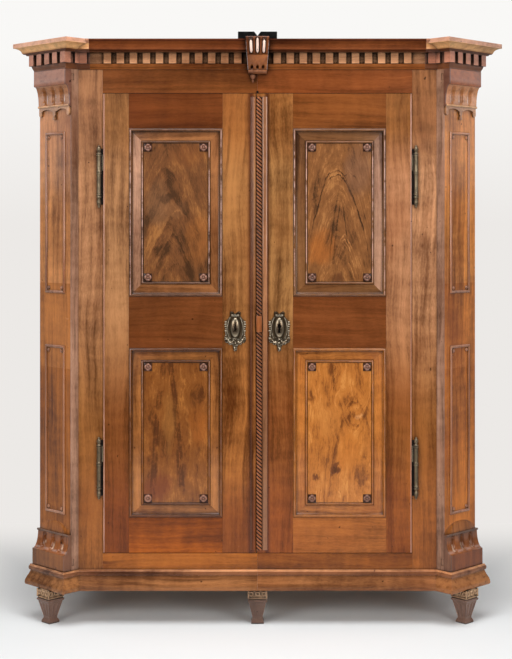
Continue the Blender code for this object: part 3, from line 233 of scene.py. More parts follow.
class Graph:
    """Node tree of a material or of the world."""

    def __init__(self, owner: bpy.types.Material | bpy.types.World) -> None:
        """Take over an owner's tree, which has only its own shader and output."""
        owner.use_nodes = True
        self.owner = owner
        self.tree = owner.node_tree
        self.shader = self.tree.nodes["Background" if isinstance(owner, bpy.types.World) else "Principled BSDF"]

    def node(self, kind: str, settings: dict[str, object], sockets: dict[object, object]) -> bpy.types.Node:
        """Add a node.

        Args:
            kind: the node's type.
            settings: its own settings, set before its sockets.
            sockets: value or link of each input, by name or place.

        Returns:
            The node.
        """
        made = self.tree.nodes.new(kind)
        for key, setting in settings.items():
            setattr(made, key, setting)
        for key, value in sockets.items():
            self.feed(made.inputs[key], value)
        return made

    def feed(self, socket: bpy.types.NodeSocket, value: object) -> None:
        """Link a value to an input, or set it there. A tone of three parts is set as its linear colour."""
        if isinstance(value, (Value, bpy.types.NodeSocket)):
            self.tree.links.new(value.socket if isinstance(value, Value) else value, socket)
        else:
            socket.default_value = linear(value) if isinstance(value, tuple) and len(value) == 3 else value

    def value(
        self, kind: str, settings: dict[str, object], sockets: dict[object, object], out: int | str = 0,
    ) -> Value:
        """Add a node and take one of its outputs, by place or name, as a value.

        Args:
            kind: the node's type.
            settings: its properties.
            sockets: what feeds it, by place or name.
            out: the output to take.

        Returns:
            That output as a value.
        """
        return Value(self, self.node(kind, settings, sockets).outputs[out])

    def shade(self, sockets: dict[str, object]) -> None:
        """Feed the shader's own inputs by name."""
        for key, value in sockets.items():
            self.feed(self.shader.inputs[key], value)

    def split(self, vector: bpy.types.NodeSocket) -> tuple[Value, Value, Value]:
        """Three parts of a vector."""
        parts = self.node("ShaderNodeSeparateXYZ", {}, {0: vector})
        return tuple(Value(self, socket) for socket in parts.outputs)

    def place(self) -> tuple[Value, Value, Value]:
        """Coordinates of the surface in the frame of the resting wardrobe."""
        return self.split(self.node("ShaderNodeTexCoord", {}, {}).outputs["Object"])

    def noise(self, at: Sequence[Number], detail: float = 2.0, roughness: float = 0.5) -> Value:
        """Noise of 0 to 1 at a point.

        Args:
            at: the three coordinates, already scaled.
            detail: octaves.
            roughness: share that each finer octave keeps.

        Returns:
            The noise.
        """
        point = self.node("ShaderNodeCombineXYZ", {}, dict(enumerate(at))).outputs[0]
        sockets = {"Vector": point, "Scale": 1.0, "Detail": detail, "Roughness": roughness}
        return self.value("ShaderNodeTexNoise", {}, sockets, "Fac")

    def mixed(self, factor: Number, one: object, other: object, blend: str = "MIX") -> bpy.types.NodeSocket:
        """Mix of two colours.

        Args:
            factor: share of the other colour.
            one: first colour or link.
            other: second colour or link.
            blend: how the second goes over the first.

        Returns:
            The colour's socket.
        """
        settings = {"data_type": "RGBA", "blend_type": blend}
        return self.node("ShaderNodeMix", settings, {0: factor, 6: one, 7: other}).outputs[2]

    def layered(self, base: object, *layers: tuple[Number, object]) -> object:
        """Colour with other colours laid over it in turn, each by its share."""
        for share, colour in layers:
            base = self.mixed(share, base, colour)
        return base

    def rounded(self, radius: float) -> bpy.types.NodeSocket:
        """Normal of the surface with its edges rounded off."""
        return self.node("ShaderNodeBevel", {"samples": 4}, {"Radius": radius}).outputs[0]

    def normal(self) -> bpy.types.NodeSocket:
        """Normal of the surface as it is."""
        return self.node("ShaderNodeNewGeometry", {}, {}).outputs["Normal"]

    def edge(self, rounded: bpy.types.NodeSocket) -> Value:
        """How close the surface is to an edge, from 0 to about 0.3, given its rounded normal."""
        sockets = {0: rounded, 1: self.normal()}
        return 1.0 - self.value("ShaderNodeVectorMath", {"operation": "DOT_PRODUCT"}, sockets, "Value")

    def openness(self, distance: float) -> Value:
        """1 on open ground, falling towards 0 deep in a crevice."""
        return self.value("ShaderNodeAmbientOcclusion", {"samples": 4}, {"Distance": distance}, "AO")

    def bump(self, height: Number, strength: float, distance: float, normal: object) -> bpy.types.NodeSocket:
        """Normal with a fine relief on it.

        Args:
            height: the relief, 0 to 1.
            strength: how much of it shows.
            distance: depth of the relief in metres.
            normal: the normal that it goes over.

        Returns:
            The new normal.
        """
        sockets = {"Height": height, "Strength": strength, "Distance": distance, "Normal": normal}
        return self.node("ShaderNodeBump", {}, sockets).outputs[0]

    def seen(self, share: Value) -> Value:
        """1 for the camera's rays, and a share for those by way of metal or glass."""
        path = self.node("ShaderNodeLightPath", {}, {}).outputs
        glossy, through, camera = (
            Value(self, path[f"Is {kind} Ray"]) for kind in ("Glossy", "Transmission", "Camera"))
        return (glossy.most(through) * share).most(camera)


class Grain(Enum):
    """Direction of the fibres: the place of the coordinate along them, then of the two across them."""

    UP = (2, 0, 1)
    ACROSS = (0, 2, 1)

    def axes(self, place: Sequence[Value]) -> tuple[Value, Value, Value]:
        """Coordinates along the fibres and the two ways across them."""
        return tuple(place[index] for index in self.value)


class Finish:
    """Procedural finish of a piece."""

    def shade(self, graph: Graph, place: Sequence[Value], seed: float) -> None:
        """Set the shader of a graph.

        Args:
            graph: the material's graph.
            place: coordinates of the surface.
            seed: shifts the figure, so no two pieces match.
        """
        raise NotImplementedError

    def material(self, name: str) -> bpy.types.Material:
        """Material of the piece of this name."""
        graph = Graph(bpy.data.materials.new(name))
        self.shade(graph, graph.place(), seed_of(name))
        return graph.owner


@dataclass(frozen=True)
class Band:
    """Stretch of height with a tone of its own, up to its head."""

    head: float
    tone: Tone
    soft: float = 0.0002


@dataclass(frozen=True)
class Veneer(Finish):
    """Polished walnut."""

    tone: Tone
    grain: Grain = Grain.UP
    contrast: float = 1.0
    redness: float = 0.35
    roughness: float = 0.24
    coat: float = 0.16
    # Strength of the dark crevices: part dirt, part painted shade.
    darkening: float = 0.80
    crevice: float = 0.014
    edge: float = 0.0012
    # Strength of the pale edges: part rubbing, part painted highlight.
    edge_wear_and_highlight: float = 0.40
    bands: tuple[Band, ...] = ()
    # Share by which faces that look straight ahead are darkened: painted light, the canted faces keeping a pale
    # painted sheen.
    front: float = 0.0
    gloss_level: float = 0.20

    def ground(self, graph: Graph, place: Sequence[Value]) -> object:
        """Mean colour of the wood, by height if there are bands."""
        colour: object = self.tone
        for band in reversed(self.bands):
            colour = graph.mixed(place[2].ramp(band.head + band.soft, band.head - band.soft), colour, band.tone)
        return colour

    def tint(self, graph: Graph, place: Sequence[Value], seed: float) -> tuple[object, Value]:
        """Shading and relief of plain fibres.

        Args:
            graph: the material's graph.
            place: coordinates of the surface.
            seed: shifts the figure.

        Returns:
            The shading as a factor on the mean colour, and a relief of 0 to 1.
        """
        along, one, other = self.grain.axes(place)

        def fibres(side: Value, fine: float, stretch: float, shift: Number, *octaves: float) -> Value:
            """Noise stretched along the fibres, fine across them."""
            return graph.noise((side * fine, other * fine, along * stretch + shift), *octaves)

        wander = fibres(one, 4.0, 1.8, seed, 3.0) - 0.5
        bent = one + wander * 0.080
        broad = fibres(bent, 9.0, 1.3, seed, 4.0, 0.6)
        streak = fibres(bent, 70.0, 2.0, seed, 3.0, 0.52)
        flame = fibres(bent, 8.0, 26.0, wander * 3.0, 3.0, 0.55)
        speck = fibres(bent, 300.0, 60.0, seed, 3.0, 0.65)
        pore = fibres(bent, 640.0, 90.0, 0.0, 1.0)
        blush = fibres(one, 5.0, 2.4, -seed, 3.0)
        sweep = fibres(one, 4.0, 1.7, -seed, 4.0, 0.6)
        spots = fibres(one, 60.0, 44.0, seed, 1.0)
        mean = broad * 0.38 + streak * 0.22 + flame * 0.12 + speck * 0.13 + sweep * 0.20
        dark = (*(1 - part * self.contrast for part in (0.76, 0.84, 0.90)), 1.0)
        light = (*(1 + part * self.contrast for part in (0.76, 0.80, 0.74)), 1.0)
        shade = graph.layered(
            dark, (mean.ramp(0.38, 0.67), light),
            (blush.ramp(0.45, 0.72) * self.redness, (1.12, 0.86, 0.66, 1.0)),
            (streak.ramp(0.40, 0.32) * 0.30 * self.contrast, (0.42, 0.36, 0.32, 1.0)),
            (spots.ramp(0.235, 0.205) * 0.8, (0.16, 0.13, 0.12, 1.0)),
            (pore.ramp(0.34, 0.22) * 0.45, (0.34, 0.30, 0.28, 1.0)))
        return shade, speck * 0.5 + pore * 0.5

    def finish(self, graph: Graph, colour: object, relief: Value, place: Sequence[Value], seed: float) -> None:
        """Set polish over a colour, with pale edges from rubbing and painted highlight, and dark crevices from dirt
        and painted shade.

        Args:
            graph: the material's graph.
            colour: colour of the wood.
            relief: its fine relief.
            place: coordinates of the surface.
            seed: shifts the pale edges.
        """
        rounded = graph.rounded(self.edge)
        scuff = graph.noise([part * 26.0 + seed for part in place], 3.0, 0.6)
        # Pale edges: part rubbing, part painted highlight where the rounded edges catch the light.
        wear_and_highlight_mask = graph.edge(rounded).ramp(0.03, 0.25) * scuff.ramp(0.30, 0.60) * self.edge_wear_and_highlight
        gains, tops = (1.25, 1.32, 1.5), (235, 225, 215)
        pale = tuple(min(part * gain, top) for part, gain, top in zip(self.tone, gains, tops))
        # Crevices darkened toward a dark copy of the tone: part dirt, part painted shade.
        crevice = graph.openness(self.crevice).ramp(0.90, 0.40) * self.darkening
        graph.shade({
            "Base Color": graph.layered(colour, (wear_and_highlight_mask, pale), (crevice, shaded(self.tone, 0.16))),
            "Roughness": scuff * 0.14 + (self.roughness - 0.07), "Coat Weight": self.coat, "Coat Roughness": 0.10,
            "Specular IOR Level": self.gloss_level, "Normal": graph.bump(relief, 0.25, 0.0003, rounded)})

    def shade(self, graph: Graph, place: Sequence[Value], seed: float) -> None:
        """Set the shader: fibres over the mean colour, with faces that look straight ahead darkened if a share is
        given: painted light, the canted faces staying pale as painted sheen.
        """
        shade, relief = self.tint(graph, place, seed)
        colour = graph.mixed(1.0, self.ground(graph, place), shade, "MULTIPLY")
        if self.front:
            # Painted light: the faces that look straight ahead are darkened, so only the canted faces keep the pale
            # sheen.
            facing = graph.split(graph.normal())[1].ramp(-0.85, -0.95) * self.front
            colour = graph.mixed(facing, colour, (0.62, 0.50, 0.40, 1.0), "MULTIPLY")
        self.finish(graph, colour, relief, place, seed)


@dataclass(frozen=True)
class CordVeneer(Veneer):
    """Walnut of a carved cord, with painted shade in the grooves between its strands."""

    left: float = 0.0
    width: float = 0.0178
    pitch: float = 0.0105
    slant: float = 1.1

    def ground(self, graph: Graph, place: Sequence[Value]) -> object:
        """Mean colour, with painted shade in the grooves of the cord."""
        x, _y, z = place
        phase = z / self.pitch - (x - self.left) * (self.slant / self.width)
        on_cord = x.ramp(self.left + self.width, self.left + self.width - 0.0004)
        groove_shade = abs((phase * math.pi).math("SINE")).ramp(0.74, 0.36) * on_cord
        return graph.mixed(groove_shade, self.tone, (26, 14, 10))


@dataclass(frozen=True)
class EdgedVeneer(Veneer):
    """Walnut that darkens toward an upright line: painted shade beside the moulding there."""

    line: float = 0.0
    reach: float = 0.024
    strip_shade_tone: Tone = (70, 30, 18)

    def ground(self, graph: Graph, place: Sequence[Value]) -> object:
        """Mean colour, darker near the line."""
        near = abs(place[0] - self.line).ramp(self.reach, 0.0)
        return graph.mixed(near * near * 0.9, super().ground(graph, place), self.strip_shade_tone)


@dataclass(frozen=True)
class CantedVeneer(Veneer):
    """Walnut of a canted corner, its return toward the doors in a tone of painted light: sheen on the corner
    boards, shade on the capitals and consoles.
    """

    # Tone of the return: painted light, a pale sheen unless given.
    return_painted_light: Tone = (150, 112, 92)

    def across(self, place: Sequence[Value]) -> Value:
        """Distance from the middle of the corner's face, toward the doors."""
        x, y, _z = place
        return (abs(x) * -1.0 - CORNER_MIDDLE[0] - (y - CORNER_MIDDLE[1])) * math.sqrt(0.5)

    def ground(self, graph: Graph, place: Sequence[Value]) -> object:
        """Mean colour, with the return in its tone of painted light."""
        turned = self.across(place).ramp(0.0862, 0.0868)
        return graph.mixed(turned, super().ground(graph, place), self.return_painted_light)


@dataclass(frozen=True)
class FlutedVeneer(CantedVeneer):
    """Walnut of a corner's console, with a painted highlight along one side of each flute."""

    shift: float = 0.0
    spacing: float = 0.050
    foot: float = 0.0
    head: float = 1.0
    half: float = 0.0022
    # Tone of the painted highlight in the flutes.
    highlight_tone: Tone = (220, 176, 140)
    # On a console or capital the return is darker: painted shade.
    return_painted_light: Tone = (110, 72, 58)

    def ground(self, graph: Graph, place: Sequence[Value]) -> object:
        """Mean colour, with a line of painted highlight in each flute."""
        x, y, z = place
        across = self.across(place)
        places = (step * self.spacing + self.shift for step in (-1, 0, 1))
        left, middle, right = (abs(across - line).ramp(self.half, self.half * 0.3) for line in places)
        broken = graph.noise((x * 60.0, y * 60.0, z * 40.0), 3.0).ramp(0.36, 0.55)
        lines = left.most(middle).most(right) * z.window(self.foot, self.head, 0.004, 0.008) * broken
        return graph.mixed(lines, super().ground(graph, place), self.highlight_tone)


@dataclass(frozen=True)
class Arch:
    """Arched line over a panel's field, in shares of the field."""

    across: float
    steep: float
    power: float

    def drop(self, across: Value) -> Value:
        """How far the arch has dropped from its apex, at a place across the field."""
        return (abs(across - self.across) + 0.02) ** self.power * self.steep


@dataclass(frozen=True)
class Vein(Arch):
    """Dark or pale line of a panel's figure, that follows an arch."""

    apex: float
    width: float
    strength: float
    left: float = -1.2
    right: float = 1.2

    def shown(self, across: Value, up: Value, height: float, width: float) -> Value:
        """Share of the vein that shows at a place.

        Args:
            across: place across the field.
            up: height on the field, with the sway of the line added.
            height: the field's height in metres.
            width: half its width in metres.

        Returns:
            The share.
        """
        gap = abs(across - self.across) + 0.02
        slope = gap ** (self.power - 1) * (self.steep * self.power * height / width)
        off = (self.apex - (up + self.drop(across))) * height / (slope * slope + 1.0) ** 0.5
        span = across.window(self.left - 0.1, self.right + 0.1, 0.2)
        return off.ramp(self.width * -0.35, 0.0) * off.ramp(self.width * 2.6, 0.0) * span


@dataclass(frozen=True)
class Spot:
    """Soft spot of a panel's figure, in shares of the field."""

    across: float
    up: float
    wide: float
    tall: float
    strength: float

    def near(self, across: Value, up: Value, wider: float = 1.0, taller: float = 1.0) -> Value:
        """1 at the spot's middle, falling softly to 0 at its edge, which may be drawn wider and taller."""
        side = (across - self.across) / (self.wide * wider)
        rise = (up - self.up) / (self.tall * taller)
        return (side * side + rise * rise).ramp(1.0, 0.0)


@dataclass(frozen=True)
class Patch(Spot):
    """Cloud of another tone on a panel."""

    tone: Tone


@dataclass(frozen=True)
class FiguredPanel(Finish):
    """Door panel: border with mitred grain, mouldings and a figured field."""

    tone: Tone
    border: Tone
    dark: Tone
    light: Tone
    upright: float
    swirl: Arch
    rings: float
    veins: tuple[Vein, ...]
    spots: tuple[Spot, ...]
    patches: tuple[Patch, ...]
    # Side of the border painted with a pale sheen: -1 left, 1 right, 0 none.
    sheen_side: float = 0.0
    centre: tuple[float, float] = (0.0, 0.0)
    half: tuple[float, float] = (1.0, 1.0)
    rim: float = 0.0527

    def figure(self, graph: Graph, across: Value, up: Value, seed: float) -> tuple[Value, Value]:
        """Darkness of the field's figure.

        Args:
            graph: the material's graph.
            across: -1 at the field's left edge to 1 at its right edge.
            up: 0 at its foot to 1 at its head.
            seed: shifts the bands.

        Returns:
            The darkness, about 0.5 on average, and the warp of the figure.
        """
        width = self.half[0] - self.rim
        height = (self.half[1] - self.rim) * 2

        def swing(side: Number, rise: Number, deep: float, detail: float, rough: float) -> Value:
            """Noise about zero."""
            return graph.noise((side, rise, deep), detail, rough) - 0.5

        warp = swing(across * 1.7, up * 3.6 + seed, 0.0, 5.0, 0.6)
        fine = swing(across * 8.0, up * 17.0 + seed, 0.0, 4.0, 0.62)
        bulge = warp * 0.16 + fine * 0.026
        level = (up + self.swirl.drop(across) + bulge) * self.rings
        nested = swing(across * 0.7, level, seed, 6.0, 0.70)
        ring = swing(across * 2.0, level * 7.0, seed, 4.0, 0.6)
        feather = swing(across * 5.0, level * 26.0, seed, 3.0, 0.6)
        pulled = across + warp * 0.6
        for spot in self.spots:
            pulled = pulled + (across - spot.across) * spot.near(across, up, 2.2, 2.0) * -0.8
        straight = swing(pulled * 6.0, up * 1.1, seed, 6.0, 0.68)
        hair = swing(pulled * 26.0, up * 3.4, seed, 4.0, 0.65)
        grown = nested * 1.05 + ring * 0.50 + feather * 0.45
        plain = straight * 0.95 + hair * 0.75
        cloud = swing(across * 2.4, up * 5.5, seed + 3.0, 5.0, 0.65)
        total = grown + (plain - grown) * self.upright + cloud * 0.95 + 0.5
        fade = graph.noise((across * 3.0, up * 8.0, seed + 7.0), 3.0, 0.6).ramp(0.34, 0.62) * 0.8 + 0.2
        fade = fade * (feather * 2.5 + 1.0).least(1.0).most(0.0)
        sway = bulge + fine * 0.03 + swing(across * 20.0, up * 26.0, seed, 3.0, 0.6) * 0.022
        for vein in self.veins:
            total = total + vein.shown(across, up + sway, height, width) * fade * vein.strength
        for spot in self.spots:
            near = spot.near(across + warp * 0.55 + fine * 0.5, up + fine * 0.10, 1.5, 1.4)
            total = total + near * near * spot.strength
        return total, warp

    def field(self, graph: Graph, place: Sequence[Value], seed: float) -> object:
        """Colour of the field: its figure from light to dark, clouds of other tones, fibres and pores.

        Args:
            graph: the material's graph.
            place: coordinates of the surface.
            seed: shifts the figure.

        Returns:
            The colour.
        """
        x, y, z = place
        across = (x - self.centre[0]) / (self.half[0] - self.rim)
        up = (z - self.centre[1]) / ((self.half[1] - self.rim) * 2) + 0.5
        total, warp = self.figure(graph, across, up, seed)
        total = total + (graph.noise((x * 260.0, y, z * 44.0), 4.0, 0.65) - 0.5) * 0.44
        deepest = shaded(self.dark, 0.5)
        field = graph.layered(
            self.light, (total.ramp(0.22, 0.50), self.tone), (total.ramp(0.46, 0.87), self.dark),
            (total.ramp(0.92, 1.30) * 0.6, deepest))
        for patch in self.patches:
            mottle = (total.ramp(1.0, 0.2) * 0.6 + 0.4) * patch.strength
            field = graph.mixed(patch.near(across + warp * 0.9, up + warp * 0.25) * mottle, field, patch.tone)
        pore = graph.noise((x * 420.0, y, z * 90.0), 2.0)
        return graph.mixed(pore.ramp(0.34, 0.26) * 0.55, field, deepest)

    def shade(self, graph: Graph, place: Sequence[Value], seed: float) -> None:
        """Set the shader of the whole panel, its zones told apart by their distance from its edge."""
        x, y, z = place
        wood = Veneer(self.tone, coat=0.45, darkening=0.9, edge_wear_and_highlight=0.24, edge=0.0008)
        side = self.half[0] - abs(x - self.centre[0])
        rise = self.half[1] - abs(z - self.centre[1])
        inset = side.least(rise)
        level = side.above(rise)
        shade, relief = wood.tint(graph, (inset, y, x * level + z * (1.0 - level)), seed)
        band = graph.mixed(1.0, self.border, shade, "MULTIPLY")
        rail = graph.mixed(1.0, shaded(self.tone, 0.80), shade, "MULTIPLY")
        # Painted sheen: on one side the sloped border turns to a side lamp and is painted paler.
        if self.sheen_side:
            turned = ((x - self.centre[0]) * self.sheen_side).above(0.0) * (1.0 - level)
            band = graph.mixed(turned * 0.62, band, graph.mixed(1.0, (172, 130, 108), shade, "MULTIPLY"))
        bead = inset.ramp(0.0425, 0.0433) * inset.ramp(self.rim, self.rim - 0.0006)
        # Pale crests of the mouldings: painted highlight with a little rubbing, strongest on the uprights and on
        # panels with a painted sheen.
        crest = inset.window(0.0030, 0.0072, 0.0015, 0.0012).most(inset.window(0.0452, 0.0492, 0.0012))
        edge_wear_and_highlight = graph.noise((x * 30.0, y, z * 30.0 + seed), 4.0, 0.6).ramp(0.36, 0.60)
        edge_wear_and_highlight = crest * edge_wear_and_highlight * (1.0 - level * 0.85) * (0.90 if self.sheen_side else 0.16)
        inside = inset.ramp(self.rim - 0.0008, self.rim)
        colour = graph.layered(
            band, (inset.ramp(0.0145, 0.0135), rail), (inside, self.field(graph, place, seed)), (bead, rail),
            (edge_wear_and_highlight, (204, 160, 142)))
        wood.finish(graph, colour, relief, place, seed)


@dataclass(frozen=True)
class OldMetal(Finish):
    """Old metal: pale on its ridges from rubbing and painted highlight, dark in its hollows from tarnished patches
    and painted shade.
    """

    tone: Tone
    dull: Tone
    roughness: float = 0.30
    metallic: float = 0.85
    hollow: float = 0.007
    ridge_wear_and_highlight: Tone | None = None

    def shade(self, graph: Graph, place: Sequence[Value], seed: float) -> None:
        """Set the shader: tarnished clouds, hollows darkened as tarnished patches and painted shade, and pale
        ridges from rubbing and painted highlight if they have a tone.
        """
        spots = graph.noise([part * 160.0 + seed for part in place], 3.0, 0.6)
        cloud = graph.noise([part * 45.0 - seed for part in place], 3.0)
        # Hollows darkened: partly tarnished, partly painted shade.
        deep = graph.openness(self.hollow).ramp(0.96, 0.62)
        tarnish_and_shade = (cloud.ramp(0.42, 0.66) * 0.4 + deep + spots.ramp(0.50, 0.7) * 0.3).least(1.0)
        colour = graph.mixed(tarnish_and_shade, self.tone, self.dull)
        # Pale ridges: part rubbing, part painted highlight.
        if self.ridge_wear_and_highlight is not None:
            edge_wear_and_highlight = graph.edge(graph.rounded(0.0012)).ramp(0.02, 0.14)
            colour = graph.mixed(edge_wear_and_highlight * (1.0 - deep), colour, self.ridge_wear_and_highlight)
        graph.shade({
            "Base Color": colour, "Metallic": self.metallic - tarnish_and_shade * 0.45,
            "Roughness": tarnish_and_shade * 0.30 + self.roughness,
            "Normal": graph.bump(spots, 0.2, 0.0002, graph.rounded(0.0005))})


@dataclass(frozen=True)
class PlateMetal(OldMetal):
    """Silvered brass of the key plates, its light painted in: painted highlights on the rim of the dome and on the
    ribs, a painted dark reflection in the dome's middle, and a dark ground between, partly tarnished and partly
    painted shade.
    """

    centre: float = 0.0
    level: float = 1.047
    dome_dark_reflection: Tone = (58, 38, 28)

    def shade(self, graph: Graph, place: Sequence[Value], seed: float) -> None:
        """Set the shader by the distance from the middle of the plate."""
        across, rise = abs(place[0] - self.centre), place[2] - self.level
        oval = ((across / 0.0165) ** 2.0 + ((rise + 0.002) / 0.035) ** 2.0) ** 0.5
        spots = graph.noise([part * 200.0 + seed for part in place], 3.0, 0.6)
        lobes = graph.noise([part * 230.0 - seed for part in place], 2.0).ramp(0.50, 0.60)
        lobes = lobes * rise.ramp(-0.036, -0.040)
        low = rise + 0.006
        rib = abs(across - (low * low * -6.4 + 0.0275)).ramp(0.0027, 0.0012) * rise.window(-0.042, 0.034, 0.006)
        wing = (rise * (math.tau / 0.0078)).math("SINE").ramp(-0.1, 0.5) * across.ramp(0.0300, 0.0315)
        wing = wing * rise.ramp(-0.040, -0.034)
        bow = rise.window(0.0355, 0.0455, 0.003) * across.ramp(0.014, 0.010)
        # Dome: a painted dark reflection in its middle.
        body = graph.mixed(oval.ramp(0.84, 0.44) * (spots.ramp(0.35, 0.6) * 0.5 + 0.5), self.tone, self.dome_dark_reflection)
        # Painted highlights on the ribs, waves, lobes, bow and rim of the dome, over a dark ground that is partly
        # tarnished and partly painted shade.
        colour = graph.layered(
            self.dull, (rib.most(wing).most(lobes).most(bow) * 0.9, self.ridge_wear_and_highlight), (oval.ramp(1.02, 0.96), body),
            (oval.window(0.74, 0.95, 0.06, 0.07) * 0.75, self.ridge_wear_and_highlight))
        graph.shade({
            "Base Color": colour, "Metallic": self.metallic, "Roughness": spots * 0.16 + self.roughness,
            "Normal": graph.bump(spots, 0.15, 0.0002, graph.rounded(0.0005))})


@dataclass(frozen=True)
class PlainBoard(Finish):
    """Unpolished softwood of the inside and the back."""

    tone: Tone
    grain: Grain

    def shade(self, graph: Graph, place: Sequence[Value], seed: float) -> None:
        """Set the shader: year rings, fibres, patches of dirt, and corners darkened as dirt and painted shade."""
        along, one, other = self.grain.axes(place)
        wander = graph.noise((one * 3.0, other * 3.0, along * 1.3 + seed), 2.0) - 0.5
        rings = graph.noise(((one + wander * 0.05) * 60.0, other * 14.0, along * 0.9 + seed), 3.0, 0.55)
        fibre = graph.noise((one * 420.0, other * 420.0, along * 14.0), 2.0)
        darkening = graph.noise([part * 4.0 + seed for part in place], 3.0, 0.6)
        colour = graph.layered(
            self.tone, (rings.ramp(0.40, 0.62), shaded(self.tone, 0.76, 0.08)),
            (fibre.ramp(0.3, 0.8) * 0.2, shaded(self.tone, 1.12)),
            (darkening.ramp(0.5, 0.8) * 0.4, shaded(self.tone, 0.68)),
            # Corners darkened: part dirt, part painted shade.
            (graph.openness(0.020).ramp(0.9, 0.3) * 0.6, shaded(self.tone, 0.35)))
        graph.shade({
            "Base Color": colour, "Roughness": 0.78 - fibre * 0.12,
            "Normal": graph.bump(fibre, 0.35, 0.0004, graph.rounded(0.001))})


class Draft:
    """Mesh under construction, in the frame of the resting wardrobe or, until it is moved, one of its own."""

    def __init__(self) -> None:
        """Start empty."""
        self.shape = bmesh.new()

    def loft(self, rings: Iterable[Ring], closed: bool = False) -> None:
        """Skin over equal rings of points, with its ends capped.

        Args:
            rings: the rings, each a sequence of points.
            closed: join the last ring to the first in the place of the caps.
        """
        rows = [[self.shape.verts.new(point) for point in ring] for ring in rings]
        pairs = list(zip(rows, rows[1:]))
        if closed:
            pairs.append((rows[-1], rows[0]))
        for one, other in pairs:
            for index in range(len(one)):
                follow = (index + 1) % len(one)
                self.shape.faces.new((one[index], one[follow], other[follow], other[index]))
        if not closed:
            self.shape.faces.new(rows[0])
            self.shape.faces.new(rows[-1])

    def bar(self, section: Pairs, foot: float, head: float, sign: int = 1) -> None:
        """Upright bar between two heights, from x and reach pairs, mirrored by a sign of -1."""
        self.loft([[(sign * x, fore(reach), height) for x, reach in section] for height in (foot, head)])

    def frame(self, half: Point, steps: Pairs, middle: Point = (0.0, 0.0, 0.0), closed: bool = False) -> None:
        """Rectangles set in one another, as the mouldings of a panel are.

        Args:
            half: half width and half height.
            steps: inset and reach of each rectangle.
            middle: the panel's middle, where the reach starts.
            closed: join the last rectangle to the first.
        """
        rings = []
        for inset, reach in steps:
            wide, tall = half[0] - inset, half[1] - inset
            corners = ((-wide, -tall), (wide, -tall), (wide, tall), (-wide, tall))
            rings.append([(middle[0] + x, middle[1] - reach, middle[2] + z) for x, z in corners])
        self.loft(rings, closed)

    def block(self, low: Point, high: Point, bevel: float) -> None:
        """Box between two corners, its edges broken by a bevel if there is one."""
        low, high = Vector(low), Vector(high)
        place = Matrix.Translation((low + high) / 2) @ Matrix.Diagonal((high - low).to_4d())
        made = bmesh.ops.create_cube(self.shape, size=1, matrix=place)
        if bevel:
            edges = dict.fromkeys(edge for vert in made["verts"] for edge in vert.link_edges)
            bmesh.ops.bevel(self.shape, geom=list(edges), offset=bevel, segments=2, profile=0.6, affect="EDGES")

    def turned(self, centre: Point, profile: Pairs, sides: int) -> None:
        """Turned form about a vertical axis, from radius and height pairs."""
        x, y = centre[:2]
        self.loft([[(x + a, y + b, height) for a, b in circle(radius, sides)] for radius, height in profile])

    def carved(
        self, rows: Pairs, steps: int, half: Callable[[float], float], carve: Callable[[float, float], float],
        back: Callable[[float], float] = lambda height: -0.0004,
    ) -> None:
        """Body with a carved face toward -Y, closed at its back and sides.

        Args:
            rows: height and reach of each row, from its foot to its head.
            steps: spans across the face.
            half: half width at a height.
            carve: depth that is taken off at a place across and up.
            back: reach of the back at a height.
        """
        rings = []
        for height, reach in rows:
            wide = half(height)
            ring = [(wide, -back(height), height), (-wide, -back(height), height)]
            for step in range(steps + 1):
                across = wide * (2 * step / steps - 1)
                ring.append((across, -max(reach - carve(across, height), SEAT), height))
            rings.append(ring)
        self.loft(rings)

    def moved(self, place: Matrix) -> None:
        """Move all that is drawn so far."""
        bmesh.ops.transform(self.shape, matrix=place, verts=self.shape.verts)

    def piece(self, name: str, finish: Finish, body: str, slot: str, angle: float = 35.0, *replaced: str) -> None:
        """Turn the draft into an object that rides on a body.

        Args:
            name: name of the piece.
            finish: its finish.
            body: the body that it moves with.
            slot: the record's slot of the piece; not used.
            angle: faces meeting flatter than this many degrees are shaded smooth.
            replaced: nodes that it stands for.
        """
        bmesh.ops.recalc_face_normals(self.shape, faces=self.shape.faces)
        mesh = bpy.data.meshes.new(name)
        self.shape.to_mesh(mesh)
        self.shape.free()
        mesh.shade_smooth()
        mesh.set_sharp_from_angle(angle=math.radians(angle))
        item = placed(name, mesh)
        mesh.materials.append(finish.material(name))
        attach(item, body)
        if replaced:
            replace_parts(item, *replaced)
        LOG.info("%s: %d faces on %s", name, len(mesh.polygons), body)


def placed(name: str, data: bpy.types.ID) -> bpy.types.Object:
    """New object of the scene with this data."""
    item = bpy.data.objects.new(name, data)
    bpy.context.scene.collection.objects.link(item)
    return item


